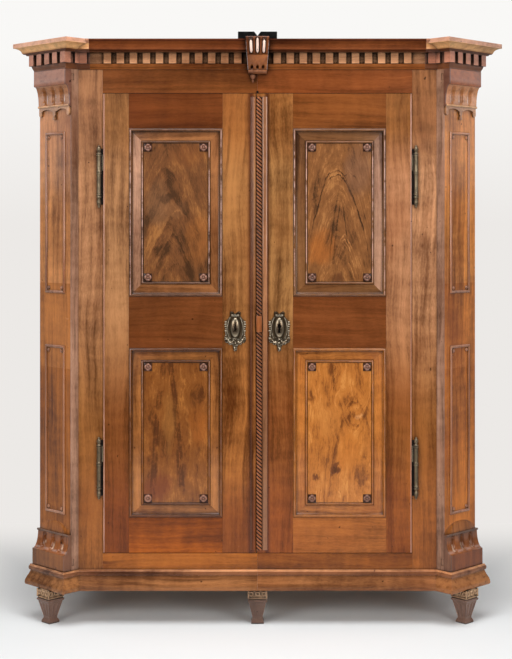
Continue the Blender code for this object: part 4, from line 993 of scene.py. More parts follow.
@dataclass(frozen=True)
class CarcaseFinish:
    """Finishes of the nodes that keep their shape."""

    cornice_foot: float = 1.953
    cornice_height: float = 0.104
    pine: Tone = (150, 112, 74)

    def cornice(self, *bands: tuple[float, Tone]) -> tuple[Band, ...]:
        """Bands of the cornice, each up to a share of its height."""
        return tuple(Band(self.cornice_foot + self.cornice_height * share, tone) for share, tone in bands)

    def heights(self, upper: Tone, lower: Tone, foot: Tone) -> tuple[Band, ...]:
        """Bands of an upright below its shaded head."""
        return Band(0.50, foot, 0.15), Band(0.95, lower, 0.28), Band(1.66, upper, 0.10)

    def uprights(self) -> dict[str, Finish]:
        """Finish of each stile, corner board and side."""
        # The meeting stiles darken toward the strip between the leaves: painted shade.
        left = EdgedVeneer((133, 81, 40), line=-0.0230)
        right = EdgedVeneer((147, 94, 48), line=0.0350, reach=0.020)
        stiles = {
            # The first tone of each stile is its head under the cornice, darker as painted shade of the cornice;
            # the three after it are its tones lower down.
            "front_stile_left": (Veneer((137, 92, 62)), (159, 111, 77), (127, 80, 40), (132, 78, 34)),
            "front_stile_right": (Veneer((128, 81, 48)), (183, 130, 93), (130, 80, 38), (134, 75, 29)),
            "door_left_hinge_stile": (Veneer((131, 86, 49)), (153, 107, 71), (105, 58, 25), (104, 49, 14)),
            "door_right_hinge_stile": (Veneer((126, 78, 39)), (162, 112, 79), (125, 73, 33), (138, 74, 25)),
            "door_left_meeting_stile": (left, (141, 93, 52), (155, 95, 45), (110, 56, 19)),
            "door_right_meeting_stile": (right, (152, 106, 62), (127, 72, 33), (117, 58, 19)),
        }
        left_bands = (Band(0.90, (145, 83, 32)), Band(1.20, (158, 96, 46)))
        right_bands = (Band(0.90, (172, 98, 34)), Band(1.20, (180, 106, 44)))
        return {
            "pilaster_left": CantedVeneer((180, 118, 70), bands=left_bands),
            "pilaster_right": CantedVeneer((194, 122, 60), bands=right_bands),
            "side_left": Veneer((136, 84, 50)), "side_right": Veneer((132, 80, 48)),
            **{name: replace(wood, bands=self.heights(*tones)) for name, (wood, *tones) in stiles.items()},
        }

    def rails(self) -> dict[str, Finish]:
        """Finish of each plain rail."""
        rails = {
            "frieze_rail_left": ((110, 60, 26), 0.7), "frieze_rail_right": ((123, 65, 29), 0.7),
            "base_rail_left": ((141, 79, 25), 1.0), "base_rail_right": ((126, 69, 22), 1.0),
            "door_left_top_rail": ((104, 53, 22), 0.6), "door_right_top_rail": ((113, 62, 26), 0.8),
            "door_left_lock_rail": ((111, 61, 29), 0.6), "door_right_lock_rail": ((116, 63, 30), 0.6),
            "door_left_bottom_rail": ((142, 70, 12), 0.8), "door_right_bottom_rail": ((148, 85, 35), 0.9),
        }
        return {name: Veneer(tone, Grain.ACROSS, contrast) for name, (tone, contrast) in rails.items()}

    def mouldings(self) -> dict[str, Finish]:
        """Finish of the plinth and of the cornice."""
        made = {}
        tones = (
            ("left", (198, 140, 100), (138, 90, 54), (126, 80, 52)),
            ("right", (194, 136, 96), (140, 91, 55), (124, 78, 50)),
        )
        for side, plinth, low, high in tones:
            # Plinth: painted light, its pale tone a painted sheen that stays on the canted faces and is darkened on
            # the faces that look straight ahead.
            made[f"plinth_{side}"] = Veneer(
                plinth, Grain.ACROSS, darkening=0.95, bands=(Band(0.1738, low), Band(0.1880, high)), front=0.45)
            # Cornice: the dark band under the crown is painted shade on its soffit.
            made[f"cornice_{side}"] = Veneer(
                (92, 46, 26), Grain.ACROSS, roughness=0.5, coat=0.0, darkening=1.0, crevice=0.035, gloss_level=0.05,
                bands=self.cornice(
                    (0.19, (130, 75, 37)), (0.57, (180, 130, 96)), (0.64, (84, 43, 22)), (0.92, (103, 53, 24))))
            # Corner caps: pale tones as painted sheen on the canted faces, darkened on the faces that look straight
            # ahead; the dark band under the crown is painted shade on its soffit.
            made[f"cornice_end_{side}"] = Veneer(
                (206, 154, 128), Grain.ACROSS, 0.5, roughness=0.4, coat=0.1, darkening=1.0, crevice=0.035, front=0.8,
                bands=self.cornice(
                    (0.19, (116, 68, 40)), (0.57, (188, 128, 104)), (0.655, (96, 54, 30)), (0.695, (204, 148, 98)),
                    (0.86, (230, 178, 124))))
        return made

    def plan(self) -> dict[str, Finish]:
        """Finish of each node by name."""
        return {
            **self.uprights(), **self.rails(), **self.mouldings(),
            "back": PlainBoard(self.pine, Grain.UP), "top_board": PlainBoard(shaded(self.pine, 0.9), Grain.ACROSS),
            **dict.fromkeys(("bottom_board", "shelf_lower", "shelf_upper"), PlainBoard(self.pine, Grain.ACROSS)),
            "tie_iron": OldMetal((22, 22, 22), (8, 8, 8), 0.5, 1.0),
            "lock_case": OldMetal((70, 66, 60), (40, 36, 32), 0.5, 0.6),
            "lock_bolt": OldMetal((96, 92, 86), (50, 46, 42), 0.4, 0.8),
        }

    def dress(self, done: Iterable[str]) -> None:
        """Give each kept node its finish, all but the nodes that a piece stands for."""
        plan = self.plan()
        for name in sorted(set(frame["nodes"]) - set(done)):
            item = frame["nodes"][name]
            item.data.materials.clear()
            item.data.materials.append(plan[name].material(name))
            LOG.info("%s: kept, %s", name, type(plan[name]).__name__)


@dataclass(frozen=True)
class DoorPanels:
    """Four fielded panels with round mouldings."""

    lower: tuple[float, float] = (0.376, 0.973)
    upper: tuple[float, float] = (1.154, 1.746)
    left: tuple[float, float] = (-0.4529873, -0.123)
    right: tuple[float, float] = (0.125, 0.4529873)

    def section(self) -> Pairs:
        """Inset and reach of each step, from the tongue to the field."""
        rim = FiguredPanel.rim
        return [
            (-0.008, -0.0177), (-0.008, -0.0093), (0.0003, -0.0093), (0.0003, 0.0), (0.0012, 0.0004),
            *arc((0.0058, 0.0006), (0.0044, 0.0040), 175, 5, 8), (0.0104, -0.0014),
            *arc((0.0146, -0.0030), (0.0042, 0.0040), 185, 265, 4),
            (0.0150, -0.0080), (0.0424, -0.0040), (0.0428, -0.0058),
            *arc((0.0475, -0.0038), (0.0043, 0.0048), 190, -10, 10), (rim - 0.0002, -0.0052), (rim, -0.0022),
        ]

    def looks(self) -> dict[str, FiguredPanel]:
        """Tones and figure of each panel by leaf and height."""
        lines = (
            (0.36, 0.0020, -0.40, -0.1, 0.45), (0.315, 0.0020, -0.40, -0.1, 0.45),
            (0.27, 0.0020, -0.35, -0.2, 0.5), (0.20, 0.0020, -0.30, -0.3, 0.6),
        )
        return {
            ("left", "upper"): FiguredPanel(
                (116, 72, 40), (138, 88, 52), (72, 45, 25), (158, 104, 56), 0.30, Arch(-0.25, 0.48, 1.3), 5.0,
                (Vein(-0.30, 0.46, 1.3, 0.83, 0.022, 0.22), Vein(-0.28, 0.50, 1.4, 0.74, 0.012, 0.14),
                 Vein(-0.15, 0.50, 1.3, 0.47, 0.018, 0.30, -0.8, 0.6),
                 Vein(-0.08, 0.55, 1.3, 0.36, 0.010, 0.30, -0.7, 0.5),
                 Vein(-0.10, 0.45, 1.4, 0.29, 0.007, 0.18, -0.6, 0.5), Vein(0.05, 0.35, 1.6, 0.13, 0.009, 0.14),
                 Vein(-0.10, 0.45, 1.4, 0.60, 0.010, -0.12), Vein(0.05, 0.30, 1.4, 0.52, 0.003, -0.25, -0.1, 0.7)),
                (Spot(-0.30, 0.60, 0.20, 0.035, 0.32), Spot(-0.45, 0.22, 0.25, 0.05, 0.25)),
                (Patch(0.7, 0.30, 0.5, 0.22, 0.55, (160, 96, 44)), Patch(-0.6, 0.55, 0.5, 0.2, 0.5, (134, 96, 66)),
                 Patch(0.4, 0.92, 0.7, 0.14, 0.4, (130, 74, 34)),
                 Patch(-0.1, 0.52, 0.5, 0.10, 0.35, (136, 94, 62))),
                sheen_side=-1.0),
            ("right", "upper"): FiguredPanel(
                (131, 83, 45), (112, 74, 44), (70, 44, 25), (172, 116, 66), 0.25, Arch(-0.07, 0.58, 1.8), 6.0,
                (Vein(-0.07, 0.56, 1.8, 0.79, 0.0030, 0.70, -0.30, 0.92),
                 Vein(-0.10, 0.50, 1.6, 0.835, 0.0024, 0.40, -0.45, 0.35),
                 Vein(-0.35, 0.90, 1.4, 0.77, 0.0026, 0.45, -0.85, -0.30),
                 Vein(0.30, 0.50, 1.6, 0.80, 0.0024, 0.35, 0.1, 0.6),
                 Vein(0.0, 2.4, 1.5, 0.68, 0.0030, 0.50, -0.35, 0.02),
                 Vein(0.06, 2.8, 1.5, 0.60, 0.0026, 0.30, -0.2, 0.3),
                 *(Vein(0.17, 0.9, 1.5, *line) for line in lines)),
                (Spot(-0.76, 0.60, 0.10, 0.13, 0.26), Spot(-0.55, 0.72, 0.12, 0.06, 0.20)),
                (Patch(-0.55, 0.25, 0.5, 0.16, 0.65, (176, 100, 40)),
                 Patch(0.6, 0.8, 0.5, 0.25, 0.55, (116, 84, 66)), Patch(0.0, 0.03, 0.35, 0.05, 0.6, (70, 36, 24))),
                sheen_side=1.0),
            ("left", "lower"): FiguredPanel(
                (130, 76, 33), (148, 92, 46), (88, 48, 22), (164, 104, 48), 0.75, Arch(-0.27, 0.10, 2.0), 3.0,
                (Vein(-0.27, 3.4, 2.0, 1.10, 0.014, 0.34), Vein(-0.27, 4.6, 2.0, 0.98, 0.006, 0.20)),
                (Spot(0.25, 0.40, 0.16, 0.30, 0.20), Spot(-0.72, 0.45, 0.12, 0.30, 0.18),
                 Spot(0.75, 0.78, 0.26, 0.04, 0.16)),
                (Patch(-0.6, 0.10, 0.6, 0.13, 0.7, (112, 48, 24)), Patch(0.75, 0.55, 0.4, 0.2, 0.6, (164, 92, 36)),
                 Patch(-0.25, 0.55, 0.3, 0.3, 0.5, (146, 98, 48)))),
            ("right", "lower"): FiguredPanel(
                (184, 112, 49), (168, 102, 46), (112, 62, 28), (208, 138, 70), 0.92, Arch(0.2, 0.10, 2.0), 3.0,
                (Vein(0.47, 0.9, 2.0, 0.74, 0.006, 0.25), Vein(0.47, -0.9, 2.0, 0.52, 0.006, 0.25)),
                (Spot(-0.32, 0.95, 0.18, 0.045, 0.22), Spot(0.42, 0.60, 0.22, 0.060, 0.30),
                 Spot(-0.08, 0.246, 0.12, 0.040, 0.60), Spot(-0.73, 0.18, 0.12, 0.035, 0.34),
                 Spot(-0.90, 0.76, 0.12, 0.045, 0.20), Spot(0.72, 0.22, 0.22, 0.16, 0.20),
                 Spot(0.35, 0.73, 0.30, 0.05, 0.16), Spot(0.85, 0.62, 0.12, 0.06, 0.14)),
                (Patch(0.62, 0.62, 0.10, 0.035, 0.8, (222, 156, 96)),
                 Patch(0.3, 0.35, 0.5, 0.2, 0.5, (196, 116, 46)), Patch(-0.4, 0.6, 0.5, 0.2, 0.5, (196, 126, 62)))),
        }

    def build(self) -> None:
        """Build the four panels."""
        for (side, level), look in self.looks().items():
            span, rise = getattr(self, side), getattr(self, level)
            centre = (sum(span) / 2, sum(rise) / 2)
            half = ((span[1] - span[0]) / 2, (rise[1] - rise[0]) / 2)
            draft = Draft()
            draft.frame(half, self.section(), (centre[0], FRONT_Y, centre[1]))
            node = f"door_{side}_{level}_panel"
            finish = replace(look, centre=centre, half=half)
            draft.piece("fielded_" + node, finish, f"door_{side}", "walnut_panel", 30.0, node)


@dataclass(frozen=True)
class Rosettes:
    """Carved rosettes on square grounds, in the corners of the door panels."""

    radius: float = 0.0134
    inset: float = 0.0672
    ground: float = 0.0140
    petals: int = 4

    def rise(self, share: float, lobe: float) -> float:
        """Height of a rosette: flat at its rim, then the ring of petals, then the button.

        Args:
            share: share of its radius.
            lobe: 1 on the middle of a petal to 0 between two.

        Returns:
            The height over the field.
        """
        if share >= 1.0:
            return SEAT
        if share > 0.35:
            cut = (1 - lobe) * 0.0038 * smooth_step(0.2, 0.6, share)
            return max(0.0016 + 0.0040 * math.sin(math.pi * min((share - 0.30) / 0.72, 1)) ** 0.7 - cut, 0.0002)
        return 0.0020 + 0.0048 * math.sqrt(1 - (share / 0.36) ** 2)

    def flower(self, draft: Draft, centre: Point, plain: bool) -> None:
        """Draw one rosette.

        Args:
            draft: where it is drawn.
            centre: its middle, on the face of the field.
            plain: a round button in the place of the petals.
        """
        sides = self.petals * 10
        rings = []
        for share in (1.0, 0.99, 0.93, 0.82, 0.68, 0.54, 0.42, 0.36, 0.34, 0.24, 0.12):
            ring = []
            for side in range(sides):
                turn = math.tau * (side + 0.5) / sides
                lobe = 1.0 if plain else abs(math.cos(self.petals / 2 * turn + math.pi / 4 * self.petals)) ** 0.45
                radius = self.radius * (0.74 + 0.26 * lobe) * share
                ring.append((
                    centre[0] + radius * math.cos(turn), centre[1] - self.rise(share, lobe),
                    centre[2] + radius * math.sin(turn)))
            rings.append(ring)
        draft.loft(rings)

    def build(self, panels: DoorPanels) -> None:
        """Build the rosettes of each panel, and the dark grounds under them."""
        petals = Veneer(
            (134, 92, 74), Grain.ACROSS, 0.5, darkening=0.98, crevice=0.005, coat=0.6, edge=0.0004, edge_wear_and_highlight=0.8)
        ground = Veneer((58, 34, 24), Grain.ACROSS, 0.5)
        size = self.ground
        for side, level in (("left", "upper"), ("left", "lower"), ("right", "upper"), ("right", "lower")):
            span, rise = getattr(panels, side), getattr(panels, level)
            flowers, squares = Draft(), Draft()
            rises = (rise[0] + self.inset, rise[1] - self.inset)
            spots = [(x, z) for x in (span[0] + self.inset, span[1] - self.inset) for z in rises]
            for x, z in spots:
                squares.block((x - size, fore(-0.0008), z - size), (x + size, fore(-0.0030), z + size), 0.0003)
                plain = (side, level) == ("left", "lower") and (x, z) == spots[0]
                self.flower(flowers, (x, fore(-0.0010), z), plain)
            flowers.piece(f"rosettes_{side}_{level}", petals, f"door_{side}", "walnut_panel", 50.0)
            squares.piece(f"rosette_grounds_{side}_{level}", ground, f"door_{side}", "walnut_panel", 50.0)


@dataclass(frozen=True)
class MeetingStrip:
    """Rope moulding with a centre block, and the flat beads beside it, one on each leaf."""

    foot: float = 0.262
    head: float = 1.857
    left: float = -0.0047
    rope: float = 0.0205
    pitch: float = 0.01353
    cuts: int = 9
    slant: float = -1.25
    block_foot: float = 1.029
    block_head: float = 1.086

    def strand(self, draft: Draft, foot: float, head: float) -> None:
        """Draw a length of the rope: a half round cut with slanting grooves."""
        half = self.rope / 2
        middle = self.left + half
        count = int((head - foot) / self.pitch * self.cuts)
        rings = []
        for step in range(count + 1):
            height = foot + (head - foot) * step / count
            ring = [(middle - half, fore(SEAT), height)]
            for side in range(11):
                turn = math.pi * side / 10
                share = (1 - math.cos(turn)) / 2
                wave = abs(math.sin(math.pi * (height / self.pitch - share * self.slant))) ** 0.7
                reach = 0.0008 + 0.0086 * math.sin(turn) * (0.25 + 0.75 * wave)
                ring.append((middle - half * math.cos(turn) * (0.86 + 0.14 * wave), fore(reach), height))
            rings.append([*ring, (middle + half, fore(SEAT), height)])
        draft.loft(rings)

    def bead(self, side: str, left: float, right: float, tone: Tone, reach: float) -> None:
        """Build the upright bead of one leaf.

        Args:
            side: the leaf.
            left: its left edge.
            right: its right edge.
            tone: its colour.
            reach: how far it stands out.
        """
        half, middle, low = (right - left) / 2, (left + right) / 2, reach * 0.5
        draft = Draft()
        rounding = arc((middle, low), (half - 0.0004, low), 180, 0, 10)
        draft.bar([(left, SEAT), (left, low), *rounding, (right, low), (right, SEAT)], self.foot, self.head)
        finish = Veneer(
            tone, Grain.UP, 0.6, darkening=0.9, coat=0.6, edge=0.0006, edge_wear_and_highlight=0.6,
            bands=(Band(0.95, shaded(tone, 0.82), 0.30),))
        draft.piece(f"strip_bead_{side}", finish, f"door_{side}", "walnut_rail", 40.0)

    def build(self) -> None:
        """Build the strip."""
        draft = Draft()
        self.strand(draft, self.foot, self.block_foot + 0.001)
        self.strand(draft, self.block_head - 0.001, self.head)
        right = self.left + self.rope
        cord = CordVeneer(
            (144, 88, 56), Grain.UP, 0.6, darkening=0.95, crevice=0.008, edge=0.0004, edge_wear_and_highlight=0.6, left=self.left,
            width=self.rope, pitch=self.pitch, slant=self.slant)
        draft.piece("cord", cord, "door_right", "walnut_rail", 40.0, "meeting_strip")
        draft = Draft()
        low = (self.left + 0.0006, fore(0.0098), self.block_foot)
        draft.block(low, (right - 0.0004, fore(0.0004), self.block_head), 0.0012)
        plain = Veneer((132, 76, 42), Grain.UP, 0.8, darkening=0.9, edge=0.0008, edge_wear_and_highlight=0.6)
        draft.piece("cord_block", plain, "door_right", "walnut_rail", 40.0)
        self.bead("right", right + 0.0012, right + 0.0190, (158, 106, 72), 0.0040)
        self.bead("left", -0.0236, -0.0056, (142, 94, 66), 0.0030)


@dataclass(frozen=True)
class DoorEdges:
    """Narrow round beads along the hinge edges of the leaves, painted pale as a highlight where the edges catch the
    light.
    """

    outer: float = 0.5427
    width: float = 0.0042
    foot: float = 0.2530
    head: float = 1.8680

    def build(self) -> None:
        """Build both beads."""
        # Pale tone: painted highlight on the rounded edge.
        finish = Veneer((196, 142, 116), Grain.UP, 0.5, darkening=0.9, coat=0.6, edge=0.0005, edge_wear_and_highlight=0.5)
        half = self.width / 2
        rounding = arc((self.outer - half, 0.0006), (half, 0.0016), 0, 180, 8)
        for side, sign in SIDES:
            draft = Draft()
            draft.bar([(self.outer, SEAT), *rounding, (self.outer - self.width, SEAT)], self.foot, self.head, sign)
            draft.piece(f"edge_bead_{side}", finish, f"door_{side}", "walnut_rail", 40.0)


@dataclass(frozen=True)
class Escutcheon:
    """Chased metal plate: a domed oval between curved ribs, a bow above and a festoon below."""

    centre: float
    pierced: bool
    level: float = 1.047
    half: float = 0.0390
    drop: float = 0.0855
    height: float = 0.1405
    spokes: int = 168
    rings: int = 34

    def outline(self) -> Pairs:
        """Points of the plate's right edge from its head down, from the keyhole."""
        shares = (
            (0.0, 0.93), (0.14, 0.965), (0.30, 1.0), (0.46, 0.990), (0.50, 0.94), (0.44, 0.89), (0.58, 0.84),
            (0.72, 0.79), (0.86, 0.765), (0.98, 0.745), (0.88, 0.71), (1.0, 0.675), (0.88, 0.64), (0.99, 0.605),
            (0.87, 0.57), (0.96, 0.52), (0.88, 0.46), (0.90, 0.38), (0.97, 0.32), (0.95, 0.26), (0.80, 0.20),
            (0.66, 0.22), (0.50, 0.15), (0.32, 0.17), (0.17, 0.12), (0.19, 0.05), (0.08, 0.0), (0.0, 0.0),
        )
        return [(self.half * x, self.height * z - self.drop) for x, z in shares]

    def rim(self, turn: float) -> float:
        """Distance from the keyhole to the edge of the plate, in a direction from the right upward."""
        ray = (abs(math.cos(turn)), math.sin(turn))
        best = 0.02
        points = self.outline()
        for one, other in zip(points, points[1:]):
            span = (other[0] - one[0], other[1] - one[1])
            cross = ray[0] * span[1] - ray[1] * span[0]
            if abs(cross) < 1e-12:
                continue
            far = (one[0] * span[1] - one[1] * span[0]) / cross
            share = (one[0] * ray[1] - one[1] * ray[0]) / cross
            if -1e-6 <= share <= 1 + 1e-6:
                best = max(best, far)
        return best

    def relief(self, x: float, z: float) -> float:
        """Height of the chasing over the plate at a point from the keyhole."""
        side = abs(x)
        oval = math.hypot(x / 0.0165, (z + 0.002) / 0.035)
        rise = 0.0030 + 0.0085 * math.sqrt(1 - oval ** 2) if oval < 1.0 else 0.0
        body = smooth_step(-0.042, -0.036, z) * smooth_step(0.036, 0.028, z)
        curl = (side - (0.0275 - 6.4 * (z + 0.006) ** 2)) / 0.0026
        bow = (math.hypot((side - 0.0125) / 0.0085, (z - 0.0460) / 0.0075) - 0.75) / 0.30
        hang = math.sqrt(max(0.0, 1 - min(1.0, abs(side - 0.0160) / 0.0150) ** 2))
        if side > 0.030:
            rise += 0.0028 * (0.5 + 0.5 * math.sin(z * math.tau / 0.0078)) * body
        ridges = (
            (0.0045 * body, curl), (0.0046 * smooth_step(0.032, 0.038, z), bow),
            (0.0048 * smooth_step(0.0390, 0.0300, side), (z + 0.046 + 0.0100 * hang) / 0.0030),
            (0.0044, math.hypot((side - 0.0320) / 0.0050, (z + 0.0480) / 0.0062)),
            (0.0050, math.hypot(side / 0.0070, (z + 0.0600) / 0.0075)),
            (0.0046, math.hypot(side / 0.0045, (z + 0.0780) / 0.0060)),
        )
        return rise + sum(height * math.exp(-far ** 2) for height, far in ridges)

    def build(self, side: str) -> None:
        """Build the plate of one leaf, and a near-black piece in the shape of its keyhole or slot: painted shade in
        the hole.
        """
        turns = [math.tau * spoke / self.spokes for spoke in range(self.spokes)]
        rims = [(self.rim(turn) * math.cos(turn), self.rim(turn) * math.sin(turn)) for turn in turns]
        rings = [[(x, -SEAT, z) for x, z in rims]]
        for share in (1.0, *(step / self.rings for step in range(self.rings - 1, 0, -1))):
            fade = 1.0 if share < 0.96 else 0.45
            spots = [(x * share, z * share) for x, z in rims]
            rings.append([(x, -0.0014 - self.relief(x, z) * fade, z) for x, z in spots])
        keyhole = Matrix.Translation((self.centre, FRONT_Y, self.level))
        draft = Draft()
        draft.loft(rings)
        draft.moved(keyhole)
        finish = PlateMetal(
            (144, 129, 106), (80, 66, 50), 0.24, 0.95, ridge_wear_and_highlight=(172, 160, 140), centre=self.centre, level=self.level)
        draft.piece(f"chased_plate_{side}", finish, f"door_{side}", "brass_old", 60.0, f"escutcheon_{side}")
        outline, head = arc((0.0, -0.002), (0.0026, 0.0135), 0, 345, 23), 0.0131
        if self.pierced:
            outline, head = arc((0.0, 0.004), (0.0062, 0.0078), -60, 240, 14), 0.0136
            outline += [(-0.0044, -0.0200), (0.0044, -0.0200)]
        hole = Draft()
        hole.loft([[(x, -reach, z) for x, z in outline] for reach in (0.0090, head)])
        hole.moved(keyhole)
        # Near-black: painted shade in the keyhole.
        dark = Veneer((8, 6, 5), Grain.UP, 0.2, roughness=0.8, coat=0.0, gloss_level=0.02)
        hole.piece(f"plate_hollow_{side}", dark, f"door_{side}", "brass_old")


@dataclass(frozen=True)
class Hinges:
    """Turned barrels with rings and finials, their leaves in the joint of the door."""

    axis: float = 0.5575873
    reach: float = 0.010
    radius: float = 0.0080
    length: float = 0.220
    joint: float = 0.57
    edge: float = 0.5439873
    plate: float = 0.028
    feet: tuple[float, float] = (0.441, 1.466)

    def profile(self, start: float, length: float) -> Pairs:
        """Radius and height pairs of one half, from its joint to its finial, down if the length is below 0."""
        shares = (
            (0.01, 0.0), (0.96, 0.0), (1.08, 0.012), (1.08, 0.045), (0.92, 0.058), (0.88, 0.075), (0.88, 0.585),
            (0.92, 0.60), (1.06, 0.615), (1.06, 0.64), (0.80, 0.655), (0.80, 0.665), (1.06, 0.68), (1.06, 0.70),
            (0.74, 0.725), (0.58, 0.745), (0.62, 0.765), (0.82, 0.795), (0.92, 0.83), (0.92, 0.865), (0.78, 0.905),
            (0.52, 0.93), (0.40, 0.945), (0.44, 0.96), (0.38, 0.985), (0.18, 0.998), (0.01, 1.0),
        )
        return [(self.radius * width, start + length * rise) for width, rise in shares]

    def flat(self, draft: Draft, sign: int, sizes: Sequence[float], foot: float, head: float) -> None:
        """Draw a flat plate.

        Args:
            draft: where it is drawn.
            sign: -1 on the left side, 1 on the right.
            sizes: its two distances from the middle, its two reaches and its bevel.
            foot: height of its foot.
            head: height of its head.
        """
        inner, outer, front, back, bevel = sizes
        low, high = sorted((sign * inner, sign * outer))
        draft.block((low, fore(front), foot), (high, fore(back), head), bevel)

    def build(self) -> None:
        """Build all eight halves, and strips of painted shadow beside them."""
        metal = OldMetal((122, 108, 86), (36, 28, 22), 0.30, 0.8, ridge_wear_and_highlight=(196, 180, 150))
        # Near-black wood beside the barrels: painted shadow.
        dark = Veneer((22, 14, 10), Grain.UP, 0.4, roughness=0.7, coat=0.0)
        beside = (self.edge + 0.001, self.axis - self.radius * 0.7, 0.0006, SEAT, 0.0)
        in_edge = (self.edge + 0.0002, self.edge - 0.0008, 0.0030, -0.020, 0.0002)
        to_barrel = (self.edge - 0.0008, self.axis, 0.0030, 0.0016, 0.0004)
        on_stile = (self.axis, self.axis + 0.0045, 0.0040, 0.0002, 0.0006)
        for side, sign in SIDES:
            shadow_strips = Draft()
            for level, foot in zip(("lower", "upper"), self.feet):
                self.flat(shadow_strips, sign, beside, foot + 0.012, foot + self.length - 0.012)
                joint = foot + self.length * self.joint
                halves = (
                    ("case", "case", -1, self.joint, (on_stile,)),
                    ("leaf", f"door_{side}", 1, 1 - self.joint, (in_edge, to_barrel)),
                )
                for half, body, way, share, plates in halves:
                    draft = Draft()
                    length = self.length * share - SEAT
                    start = joint + way * SEAT
                    draft.turned((sign * self.axis, fore(self.reach)), self.profile(start, way * length), 24)
                    middle = start + way * length * 0.36
                    for sizes in plates:
                        self.flat(draft, sign, sizes, middle - self.plate, middle + self.plate)
                    node = f"hinge_{side}_{level}_{half}"
                    draft.piece("barrel_" + node, metal, body, "brass_old", 35.0, node)
            shadow_strips.piece(f"hinge_pockets_{side}", dark, "case", "walnut_case")


@dataclass(frozen=True)
class Feet:
    """Square tapered feet: a block carved with rings, a collar, a fluted shaft and a flared toe."""

    half: float = 0.0345
    height: float = 0.1217
    levels: int = 100
    steps: int = 36

    def width(self, rise: float) -> float:
        """Half width of the foot at a share of its height."""
        shares = (
            (0.00, 0.60), (0.025, 0.66), (0.06, 0.64), (0.11, 0.56), (0.14, 0.50), (0.18, 0.50), (0.40, 0.68),
            (0.61, 0.86), (0.64, 0.88), (0.655, 0.95), (0.68, 1.00), (0.71, 1.00), (0.73, 0.90), (0.745, 0.90),
            (0.76, 1.0), (1.00, 1.0),
        )
        for (low, one), (high, other) in zip(shares, shares[1:]):
            if low <= rise <= high:
                return self.half * (one + (other - one) * (rise - low) / (high - low))
        return self.half

    def carved(self, across: float, rise: float) -> float:
        """Depth of the carving at a place on one face.

        Args:
            across: -1 to 1 over the face.
            rise: share of the height.

        Returns:
            The depth in metres.
        """
        if abs(across) > 0.95:
            return 0.0
        if rise > 0.77:
            spot = ((across + 1) * 1.5) % 1 * 2 - 1
            far = math.hypot(spot * 0.0115, (rise - 0.895) * self.height)
            return max(0.0050 * (1 - smooth_step(0.0034, 0.0056, far)), 0.0060 * smooth_step(0.0084, 0.0098, far))
        if 0.19 < rise < 0.62:
            flute = abs(math.sin(math.pi * (across + 1) * 1.5)) ** 0.7
            return 0.0024 * flute * smooth_step(0.19, 0.24, rise) * smooth_step(0.62, 0.57, rise)
        return 0.0012 * abs(math.sin(math.pi * (across + 1) * 3)) if rise < 0.05 else 0.0

    def draw(self, draft: Draft) -> None:
        """Draw one foot, its faces square to the axes."""
        rings = []
        for level in range(self.levels + 1):
            rise = level / self.levels
            half = self.width(rise)
            ring = []
            for face in range(4):
                turn = Matrix.Rotation(face * math.pi / 2, 3, "Z")
                for step in range(self.steps):
                    across = 2 * step / self.steps - 1
                    depth = self.carved(across, rise)
                    ring.append(turn @ Vector((across * half, depth - half, rise * self.height)))
            rings.append(ring)
        draft.loft(rings)

    def build(self) -> None:
        """Build all six feet."""
        back = BACK_Y - 0.038
        places = {
            "front_left": (-0.73304, -0.187148, -math.pi / 4), "front_right": (0.73304, -0.187148, math.pi / 4),
            "front_centre": (0.0, fore(-0.024), 0.0), "back_left": (-0.7223, back, 0.0),
            "back_centre": (0.0, back, 0.0), "back_right": (0.7223, back, 0.0),
        }
        for name, (x, y, turn) in places.items():
            draft = Draft()
            self.draw(draft)
            draft.moved(Matrix.Translation((x, y, 0)) @ Matrix.Rotation(turn, 4, "Z"))
            # Painted shade: the two centre feet take a darker copy of the finish of the corner feet.
            gain = 0.82 if "centre" in name else 1.0
            finish = Veneer(
                shaded((186, 150, 116), gain), Grain.UP, 0.35, 0.15, roughness=0.36, darkening=0.98, crevice=0.007,
                edge=0.0009, edge_wear_and_highlight=0.9, bands=(Band(0.0910, shaded((118, 90, 78), gain)),))
            draft.piece(f"carved_foot_{name}", finish, "case", "walnut_foot", 40.0, f"foot_{name}")


